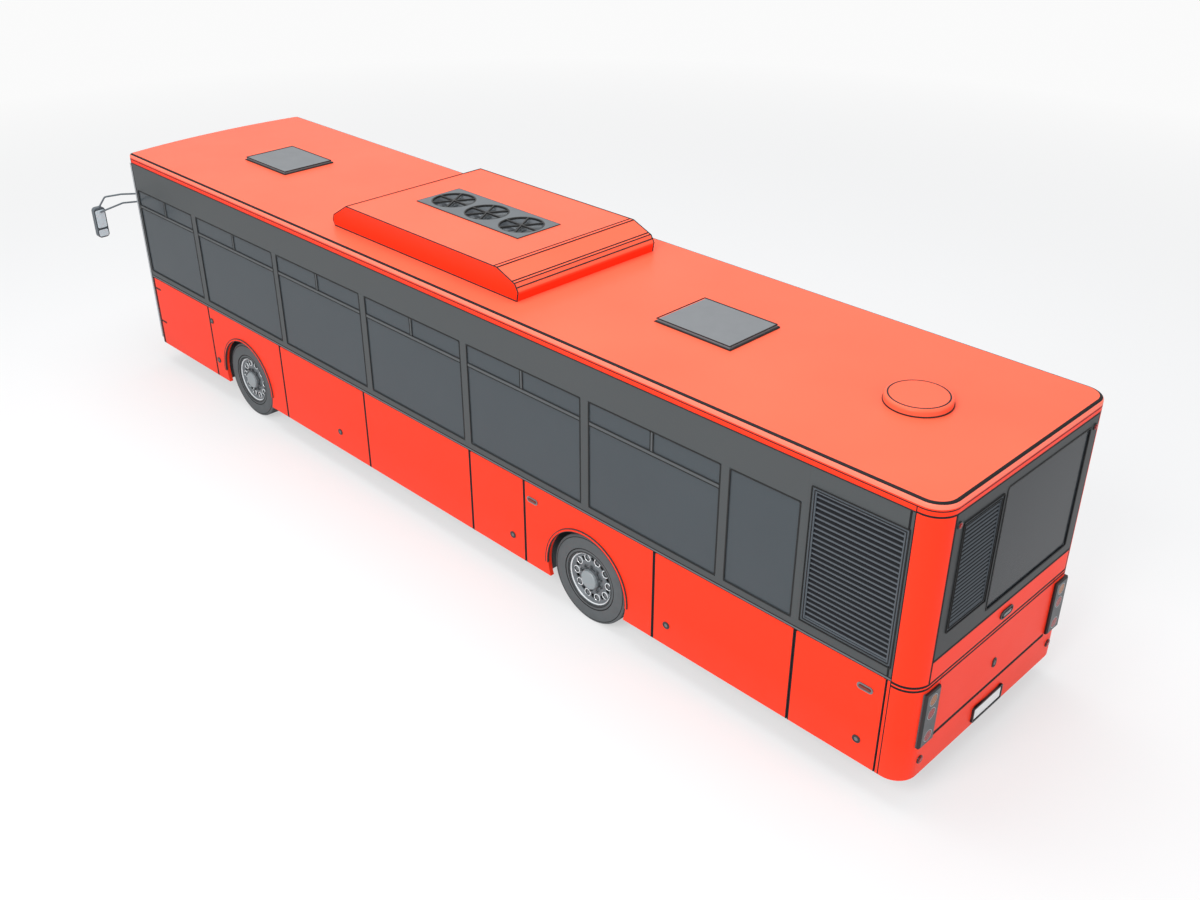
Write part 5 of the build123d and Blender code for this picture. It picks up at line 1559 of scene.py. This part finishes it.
@dataclass
class Interior:
    """Seat pads, back handles, ceiling lamps and rails with straps."""

    depth: float = 0.42
    pair: float = 0.88
    back: float = 0.055
    rows: tuple[SeatRow, ...] = tuple(SeatRow(station, side, top) for top, pairs in (
        (1.050, ((2.150, 1), (2.150, -1))), (1.195, ((3.300, 1), (3.300, -1))),
        (0.790, ((5.150, 1), (5.950, 1), (6.750, 1), (7.550, 1), (8.350, 1), (7.700, -1), (8.500, -1))),
    ) for station, side in pairs)
    bench_row: tuple[float, float, float] = (1.410, 0.48, 1.030)
    driver_place: Point = (at(10.900), 0.620, 1.100)
    handle: Section = (
        (0.0, -0.035), (0.0, 0.030), (0.030, 0.055), (0.150, 0.055), (0.180, 0.030), (0.180, -0.010))
    rail_height: float = 1.985
    rail_runs: tuple[Section, ...] = (
        ((5.55, 0.31), (7.15, 0.31)), ((7.15, 0.31), (8.75, 0.31)), ((2.45, 0.31), (4.30, 0.48)),
        ((2.45, -0.31), (4.30, -0.48)), ((7.20, -0.48), (8.90, -0.31)))
    strap: Section = (
        (-0.020, 1.838), (-0.052, 1.790), (-0.050, 1.752), (0.0, 1.735), (0.050, 1.752), (0.052, 1.790),
        (0.020, 1.838), (-0.020, 1.8381))
    lamp_row: float = 0.62
    lamp_start: float = 1.30
    lamp_pitch: float = 1.25
    ceiling: float = 2.890

    def pads(self, name: str, width: float, depth: float, rise: float) -> Piece:
        """One place's cushion and back pad, with its middle at the origin and its seat at z = 0.

        Args:
            name: the piece's name.
            width: width of both.
            depth: depth of the seat.
            rise: height of the back pad.

        Returns:
            The joined pads.
        """
        rear, half = -depth / 2 + self.back, width / 2
        cushion = Bench.soft_box("cushion", (rear + 0.012, -half, -0.002), (depth / 2 - 0.014, half, 0.030),
                                 0.013)
        pad = Bench.soft_box("pad", (rear - 0.002, -half, 0.070), (rear + 0.026, half, 0.070 + rise), 0.012)
        return Bench.smooth(Bench.join(name, [cushion, pad]), MOULDED)

    def seats(self) -> None:
        """Places the pads and the handles from the table of rows."""
        cloth = SeatCloth().make()
        yellow = Enamel("seat_handle_enamel", RAIL_YELLOW, 0.35).make()
        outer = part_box("seat_bases")[1][1]
        seed = self.pads("seed", 0.405, self.depth, 0.43)
        parts, handles = [], []
        for row in self.rows:
            middle = row.side * (outer - self.pair / 2)
            for offset in (-0.215, 0.215):
                parts.append(Bench.twin(seed, "pads", (at(row.station), middle + offset, row.top)))
            edge = middle - row.side * (self.pair / 2 - 0.10)
            x, top = at(row.station) - self.depth / 2 + self.back / 2, row.top + 0.56
            path = [(x, edge + row.side * across, top + up) for across, up in self.handle]
            handles.append(Bench.tube("handle", path, 0.011))
        station, pitch, top = self.bench_row
        parts += [Bench.twin(seed, "pads", (at(station), (index - 2) * pitch, top)) for index in range(5)]
        bpy.data.objects.remove(seed)
        put_together("seat_pads", parts, cloth)
        put_together("seat_handles", handles, yellow)
        rest = Bench.soft_box("rest", (-0.178, -0.15, 0.62), (-0.150, 0.15, 0.76), 0.012)
        driver = Bench.join("driver_seat_pads", [self.pads("driver_seat_pads", 0.46, 0.46, 0.50), rest])
        driver.data.transform(Matrix.Translation(self.driver_place))
        fit_out(driver, cloth, "body")

    def rails(self) -> None:
        """Ceiling rails between the poles, with sleeves and hanging straps."""
        yellow = Enamel("rail_enamel", RAIL_YELLOW, 0.35).make()
        black = Enamel("strap_black", screen_colour(34, 36, 40), 0.6).make()
        parts, straps = [], []
        z = self.rail_height
        for (s0, y0), (s1, y1) in self.rail_runs:
            parts.append(Bench.tube("rail", [(at(s0), y0, z), (at(s1), y1, z)], 0.0155, 3))
            for s, y in ((s0, y0), (s1, y1)):
                parts.append(Bench.bevel(Bench.drum("sleeve", (at(s), y, z), 0.0235, 0.070, "Z", 24), 0.004))
            for share in (0.25, 0.5, 0.75):
                x, y = at(s0 + (s1 - s0) * share), y0 + (y1 - y0) * share
                web = [(x + dx, y, 1.840) for dx in (-0.013, 0.013)]
                straps.append(Bench.ribbon("web", web, 0.150, 0.004))
                straps.append(Bench.tube("loop", [(x + dx, y, height) for dx, height in self.strap], 0.0075))
        put_together("ceiling_rails", parts, yellow, smooth=ROUND)
        put_together("hanging_straps", straps, black)

    def ceiling_lamps(self) -> None:
        """Two rows of ceiling lamps with their end caps."""
        lens = LensPlastic("ceiling_lens", screen_colour(226, 228, 226), 0.03).make()
        lining = Enamel("lamp_rail", screen_colour(168, 171, 170), 0.5).make()

        def block(name: str, start: float, end: float, middle: float, half: float, drop: float, radius: float,
                  segments: int) -> Piece:
            """A rounded block under the ceiling, between two stations."""
            low = (at(start), middle - half, self.ceiling - drop)
            return Bench.soft_box(name, low, (at(end), middle + half, self.ceiling), radius, segments)

        covers, caps = [], []
        for side, _ in SIDES:
            for start in (self.lamp_start + index * self.lamp_pitch for index in range(7)):
                middle = side * self.lamp_row
                covers.append(block("cover", start + 0.03, start + 1.20, middle, 0.055, 0.030, 0.012, 3))
                caps.append(block("cap", start + 1.20, start + 1.28, middle, 0.060, 0.033, 0.008, 2))
        put_together("ceiling_lamps", covers, lens, smooth=MOULDED)
        put_together("ceiling_lamp_caps", caps, lining)

    def build(self) -> None:
        """Builds the whole sub-assembly."""
        self.seats()
        self.rails()
        self.ceiling_lamps()


# --------------------------------------------------------------------------- equipment
@dataclass
class Equipment:
    """Everything else that is carried over from the construction."""

    enamels: tuple[tuple[Enamel, tuple[str, ...]], ...] = (
        (Enamel("hatch_plastic", screen_colour(112, 115, 118), 0.5, 0.0, 300.0, 0.0001),
         ("hatch_front", "hatch_rear")),
        (Enamel("fan_plastic", screen_colour(88, 93, 97), 0.5), ("fan_1", "fan_2", "fan_3")),
        (Enamel("mirror_plastic", screen_colour(84, 92, 98), 0.5, 0.0, 400.0, 0.0001), ("mirrors",)),
        (Enamel("chassis_paint", screen_colour(46, 47, 49), 0.6),
         ("chassis", "front_axle", "rear_axle", "knuckle_left", "knuckle_right")),
        (Enamel("engine_paint", screen_colour(70, 74, 78), 0.6), ("engine",)),
        (Enamel("lining_plastic", screen_colour(150, 152, 150), 0.6), ("engine_tower",)),
        (Enamel("seat_shell_plastic", screen_colour(58, 64, 80), 0.5), ("seat_bases",)),
        (Enamel("seat_back_plastic", screen_colour(48, 62, 112), 0.6), ("seat_backs",)),
        (Enamel("handrail_enamel", RAIL_YELLOW, 0.35), ("handrails",)),
        (Enamel("dashboard_plastic", screen_colour(52, 54, 58), 0.6), ("cab_fittings",)),
        (Enamel("wheel_grip", screen_colour(28, 29, 31), 0.6), ("steering_wheel",)))
    others: tuple[tuple[object, tuple[str, ...]], ...] = (
        (SpeckledFloor(), ("floor",)), (LouvrePaint(), ("grilles",)), (TrayPaint(), ("fan_tray",)),
        (LampPlastic(), ("lamp_housings",)),
        (LensPlastic("lens_red", screen_colour(140, 14, 20)), ("lamps_red",)),
        (LensPlastic("lens_amber", screen_colour(150, 92, 48)), ("lamps_amber",)),
        (LensPlastic("lens_clear", screen_colour(214, 220, 224)), ("lamps_clear",)))

    def build(self) -> None:
        """Builds the whole sub-assembly."""
        doors = tuple(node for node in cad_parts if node.startswith("door_"))
        posts = tuple(node for node in doors if "_post_" in node)
        leaves = tuple(node for node in doors if "_leaf_" in node)
        doors_finishes = ((Enamel("post_steel", screen_colour(120, 122, 124), 0.35, 0.6), posts),
                          (Enamel("leaf_enamel", screen_colour(66, 70, 72), 0.4), leaves))
        for finish, nodes in self.enamels + self.others + doors_finishes:
            material = finish.make()
            for node in nodes:
                dress_node(node, material)


# --------------------------------------------------------------------------- wheels
@dataclass(frozen=True)
class WheelPlace:
    """One wheel: its name, the body it turns with, its side and its tyres' middles."""

    name: str
    body: str
    x: float
    side: int
    middles: tuple[float, ...]


@dataclass
class Wheels:
    """Tyres with tread, rims with nuts, hand-hole rims and hub caps."""

    radius: float = AXLE_HEIGHT
    half: float = 0.1375
    bead: float = 0.292
    disc: float = 0.096
    nut_ring: float = 0.138
    hole_ring: float = 0.215
    hole_radius: float = 0.023
    count: int = 10             # of nuts and of hand holes
    tread_steps: int = 90
    ribs: tuple[float, ...] = (-0.066, -0.022, 0.022, 0.066)
    rib_pitch: float = 0.044
    places: tuple[WheelPlace, ...] = (
        WheelPlace("front_left", "wheel_front_left", at(FRONT_AXLE), 1, (1.0975,)),
        WheelPlace("front_right", "wheel_front_right", at(FRONT_AXLE), -1, (1.0975,)),
        WheelPlace("rear_left", "wheels_rear_left", at(REAR_AXLE), 1, (1.0975, 0.7825)),
        WheelPlace("rear_right", "wheels_rear_right", at(REAR_AXLE), -1, (1.0975, 0.7825)))
    enamels: tuple[Enamel, ...] = (
        Enamel("rim_silver", screen_colour(108, 113, 117), 0.34, 0.45, 300.0, 0.0001, 0.12),
        Enamel("hub_cap_grey", screen_colour(140, 148, 151), 0.42, 0.15, 300.0, 0.0001, 0.08),
        Enamel("nut_steel", screen_colour(96, 100, 103), 0.35, 0.6, 300.0, 0.0001),
        Enamel("hub_shadow", screen_colour(40, 44, 46), 0.6),
        Enamel("rim_bright", screen_colour(222, 226, 228), 0.25, 0.3, 300.0, 0.0001, 0.06))

    def tyre(self, centre: Point) -> Piece:
        """Turns one tyre and cuts its tread.

        Args:
            centre: the tyre's middle.

        Returns:
            The tyre.
        """
        top, half, bead = self.radius, self.half, self.bead
        ribs = [(middle + side, top - depth) for middle in self.ribs
                for side, depth in ((-0.0045, 0.0003), (-0.0030, 0.011), (0.0030, 0.011), (0.0045, 0.0003))]
        wall = [(half - inward, bead + up) for inward, up in (
            (0.026, 0.0), (0.008, 0.008), (0.010, 0.034), (0.0135, 0.038), (0.0135, 0.041), (0.006, 0.045),
            (0.0, 0.085))]
        wall += [(half - inward, top - down) for inward, down in (
            (0.0015, 0.060), (0.006, 0.034), (0.010, 0.031), (0.010, 0.028), (0.007, 0.025), (0.016, 0.006),
            (0.026, 0.001))]
        lining = [(half - 0.030, bead), (half - 0.034, bead + 0.07), (0.06, top - 0.05)]
        section = [(-a, r) for a, r in wall] + ribs + wall[::-1] + lining + [(-a, r) for a, r in lining[::-1]]
        piece = Bench.lathe("tread", section, centre, "Y", self.tread_steps)
        self.cut_tread(piece, centre)
        return Bench.smooth(piece, 28)

    def cut_tread(self, piece: Piece, centre: Point) -> None:
        """Sinks sipes into every other face of the ribs.

        Args:
            piece: the turned tyre.
            centre: its middle.
        """
        def on_rib(face: bpy.types.MeshPolygon) -> bool:
            """True for every other face of a rib's crown."""
            away = face.center - Vector(centre)
            if math.hypot(away.x, away.z) < self.radius - 0.0045 or abs(away.y) > 0.112:
                return False
            turn = int((math.atan2(away.z, away.x) % math.tau) / (math.tau / self.tread_steps))
            rib = int((away.y + 0.2) / self.rib_pitch)
            return (turn + rib) % 2 == 0 and face.area > 0.0003

        if Bench.pick_faces(piece, on_rib):
            bpy.ops.mesh.inset(thickness=0.0045, depth=-0.007, use_individual=True)
        bpy.ops.object.mode_set(mode="OBJECT")

    def rim_trim(self, place: WheelPlace) -> None:
        """Adds flange ring, hand-hole rims, nuts and hub cap of one wheel.

        Args:
            place: which wheel.
        """
        middle = (place.x, place.side * place.middles[0], self.radius)
        disc, hole = self.disc, self.hole_radius

        def ring(name: str, finish: Material, steps: int, section: Section) -> None:
            """Turns an outward section on this wheel's side."""
            turned = Bench.lathe(name, [(place.side * a, r) for a, r in section], middle, "Y", steps)
            fit_out(Bench.smooth(turned, TURNED), finish, place.body)

        def holes(name: str, finish: Material, section: Section) -> None:
            """Turns an outward section round one hand hole and copies it round the disc."""
            seed = Bench.lathe("hole", [(place.side * a, hole + r) for a, r in section],
                               (place.x + self.hole_ring, *middle[1:]), "Y", 20)
            copies = Bench.ring_copies(seed, name, middle, self.count)
            fit_out(Bench.smooth(copies, ROUND), finish, place.body)

        ring("rim_flange_" + place.name, self.dark, 72, [
            (0.118, 0.284), (0.125, 0.285), (0.1285, 0.289), (0.1285, 0.297), (0.126, 0.301), (0.118, 0.301)])
        ring("rim_well_" + place.name, self.dark, 72, [
            (0.086, 0.262), (0.094, 0.263), (0.096, 0.267), (0.094, 0.272), (0.086, 0.273)])
        ring("rim_ring_" + place.name, self.bright, 72, [
            (0.094, 0.268), (0.108, 0.270), (0.111, 0.274), (0.116, 0.283), (0.110, 0.284), (0.094, 0.280)])
        holes("hand_hole_rims_" + place.name, self.bright, [
            (0.076, 0.010), (0.088, 0.010), (0.0905, 0.012), (0.0895, 0.018), (0.085, 0.020), (0.076, 0.020)])
        holes("hand_hole_wells_" + place.name, self.dark, [
            (0.076, -0.001), (0.0855, -0.001), (0.0865, 0.004), (0.0865, 0.010), (0.076, 0.010)])
        self.nuts(place, middle)
        ring("hub_cap_" + place.name, self.grey, 48, [
            (disc - 0.004, 0.108), (disc + 0.004, 0.1085), (disc + 0.012, 0.104), (0.1420, 0.100),
            (0.1480, 0.093), (0.1500, 0.080), (0.1505, 0.0005)])
        ring("hub_ring_" + place.name, self.dark, 48, [
            (disc - 0.002, 0.109), (disc + 0.006, 0.1095), (disc + 0.007, 0.113), (disc + 0.005, 0.1165),
            (disc - 0.002, 0.117)])

    def nuts(self, place: WheelPlace, middle: Point) -> None:
        """Hexagon wheel nuts on flanged washers, with the stud ends showing.

        Args:
            place: which wheel.
            middle: the middle of its outer tyre.
        """
        parts = []
        for word, out, radius, depth, sides, soft, segments in (
                ("washer", 0.002, 0.0185, 0.006, 20, 0.0015, 1), ("nut", 0.012, 0.0150, 0.020, 6, 0.002, 2),
                ("stud", 0.018, 0.0080, 0.022, 12, 0.0015, 1)):
            centre = (place.x + self.nut_ring, middle[1] + place.side * (self.disc + out), middle[2])
            parts.append(Bench.bevel(Bench.drum(word, centre, radius, depth, "Y", sides), soft, segments))
        seed = Bench.join("nut", parts)
        nuts = Bench.ring_copies(seed, "wheel_nuts_" + place.name, middle, self.count, 18.0)
        fit_out(nuts, self.steel, place.body)

    def build(self) -> None:
        """Builds the whole sub-assembly."""
        silver, self.grey, self.steel, self.dark, self.bright = (finish.make() for finish in self.enamels)
        rubber = TyreRubber().make()
        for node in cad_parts:
            if node.startswith("rim"):
                dress_node(node, silver)
        for place in self.places:
            node = "tyre%s_%s" % ("s" if len(place.middles) > 1 else "", place.name)
            tyres = [self.tyre((place.x, place.side * y, self.radius)) for y in place.middles]
            fit_out(Bench.join("treaded_" + node, tyres), rubber, place.body, (node,))
            self.rim_trim(place)


# --------------------------------------------------------------------------- stage
@dataclass(frozen=True)
class Softbox:
    """A square lamp: its name, place, what it faces, its side in metres and its power in watts."""

    name: str
    place: Point
    aim: Point
    size: float
    power: float


@dataclass
class Stage:
    """Camera, pale floor and soft studio lights."""

    camera_at: Point = (-9.618, 8.230, 7.691)
    looks: Point = (0.61289, -0.61342, -0.49808)
    right: Point = (-0.70697, -0.70724, 0.00108)
    lens: float = 37.68
    plain: Colour = (0.96, 0.96, 0.96, 1.0)
    sky: Colour = (0.93, 0.96, 1.0, 1.0)
    floor_pale: Colour = (0.82, 0.82, 0.82, 1.0)
    floor_grey: Colour = (0.76, 0.77, 0.78, 1.0)
    floor_glow: float = 0.55
    glow_from: float = 9.0
    glow_over: float = 13.0
    lamps: tuple[Softbox, ...] = (
        Softbox("key", (-6.0, 16.0, 13.0), (0, 0, 1.2), 9.0, 2600.0),
        Softbox("top", (2.0, 0.0, 16.0), (0, 0, 1.5), 12.0, 1500.0),
        Softbox("rear_fill", (-18.0, -2.0, 7.0), (-3, 0, 1.5), 7.0, 380.0))

    def camera(self) -> None:
        """Sets the camera."""
        data = bpy.data.cameras.new("camera")
        data.lens = self.lens
        data.sensor_width = 36.0
        data.clip_end = 300.0
        camera = bpy.data.objects.new("camera", data)
        forward = Vector(self.looks).normalized()
        right = Vector(self.right)
        right = (right - forward * right.dot(forward)).normalized()
        turn = Matrix((right, right.cross(forward), -forward)).transposed().to_4x4()
        camera.matrix_world = Matrix.Translation(self.camera_at) @ turn
        bpy.context.scene.collection.objects.link(camera)
        bpy.context.scene.camera = camera

    def floor(self) -> None:
        """Adds the pale floor, which glows where it is seen and fades into the backdrop."""
        Bench.clear()
        bpy.ops.mesh.primitive_plane_add(size=400, location=(0, 0, 0))
        ground = Bench.settle("stage_floor")
        recipe = Recipe("stage_floor_white")
        shade = recipe.blend(recipe.noise(0.2) * 0.1, self.floor_pale, self.floor_grey)
        white = recipe.done(Base_Color=shade, Roughness=0.9, Specular_IOR_Level=0.05)
        seen, glossy, passed = (recipe.node("ShaderNodeLightPath", {}, {}, "Is %s Ray" % kind)
                                for kind in ("Camera", "Glossy", "Transmission"))
        glow = recipe.node("ShaderNodeEmission", {}, {"Color": self.plain, "Strength": 1.0})
        x, y, _ = recipe.place()
        far = (((x * x + y * y).root() - self.glow_from) / self.glow_over).held()
        share = seen.largest(glossy).largest(passed) * (self.floor_glow + far * (1.0 - self.floor_glow))
        matt = Wire(recipe, recipe.shader.outputs[0])
        mixed = recipe.node("ShaderNodeMixShader", {}, {0: share, 1: matt, 2: glow})
        recipe.tree.links.new(mixed.socket, recipe.out.inputs[0])
        ground.data.materials.append(white)

    def world(self) -> None:
        """Lights the scene with a soft sky and shows a plain backdrop instead of it."""
        world = bpy.data.worlds.new("studio")
        world.use_nodes = True
        tree = world.node_tree
        sky = tree.nodes["Background"]
        sky.inputs["Color"].default_value = self.sky
        sky.inputs["Strength"].default_value = 0.62
        plain = tree.nodes.new("ShaderNodeBackground")
        plain.inputs["Color"].default_value = self.plain
        rays = tree.nodes.new("ShaderNodeLightPath")
        mixer = tree.nodes.new("ShaderNodeMixShader")
        shown = rays.outputs["Is Camera Ray"]
        for ray in ("Is Glossy Ray", "Is Transmission Ray"):
            larger = tree.nodes.new("ShaderNodeMath")
            larger.operation = "MAXIMUM"
            tree.links.new(shown, larger.inputs[0])
            tree.links.new(rays.outputs[ray], larger.inputs[1])
            shown = larger.outputs[0]
        for index, socket in enumerate((shown, sky.outputs[0], plain.outputs[0])):
            tree.links.new(socket, mixer.inputs[index])
        tree.links.new(mixer.outputs[0], tree.nodes["World Output"].inputs[0])
        bpy.context.scene.world = world

    def build(self) -> None:
        """Builds camera, floor, world and lamps."""
        self.camera()
        self.floor()
        self.world()
        for box in self.lamps:
            data = bpy.data.lights.new(box.name, "AREA")
            data.shape = "SQUARE"
            data.size = box.size
            data.energy = box.power
            lamp = bpy.data.objects.new(box.name, data)
            lamp.location = box.place
            lamp.rotation_euler = (Vector(box.aim) - Vector(box.place)).to_track_quat("-Z", "Y").to_euler()
            bpy.context.scene.collection.objects.link(lamp)
        bpy.context.scene.view_settings.view_transform = "Standard"


def main() -> None:
    """Builds the bus's looks in order."""
    logging.basicConfig(level=logging.INFO, format="%(message)s")
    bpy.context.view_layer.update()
    for part in (Body(), Fittings(), Front(), Mirrors(), Doors(), Interior(), Equipment(), Wheels(), Stage()):
        part.build()
        log.info("%s done", type(part).__name__)


if __name__ == "__main__":
    main()
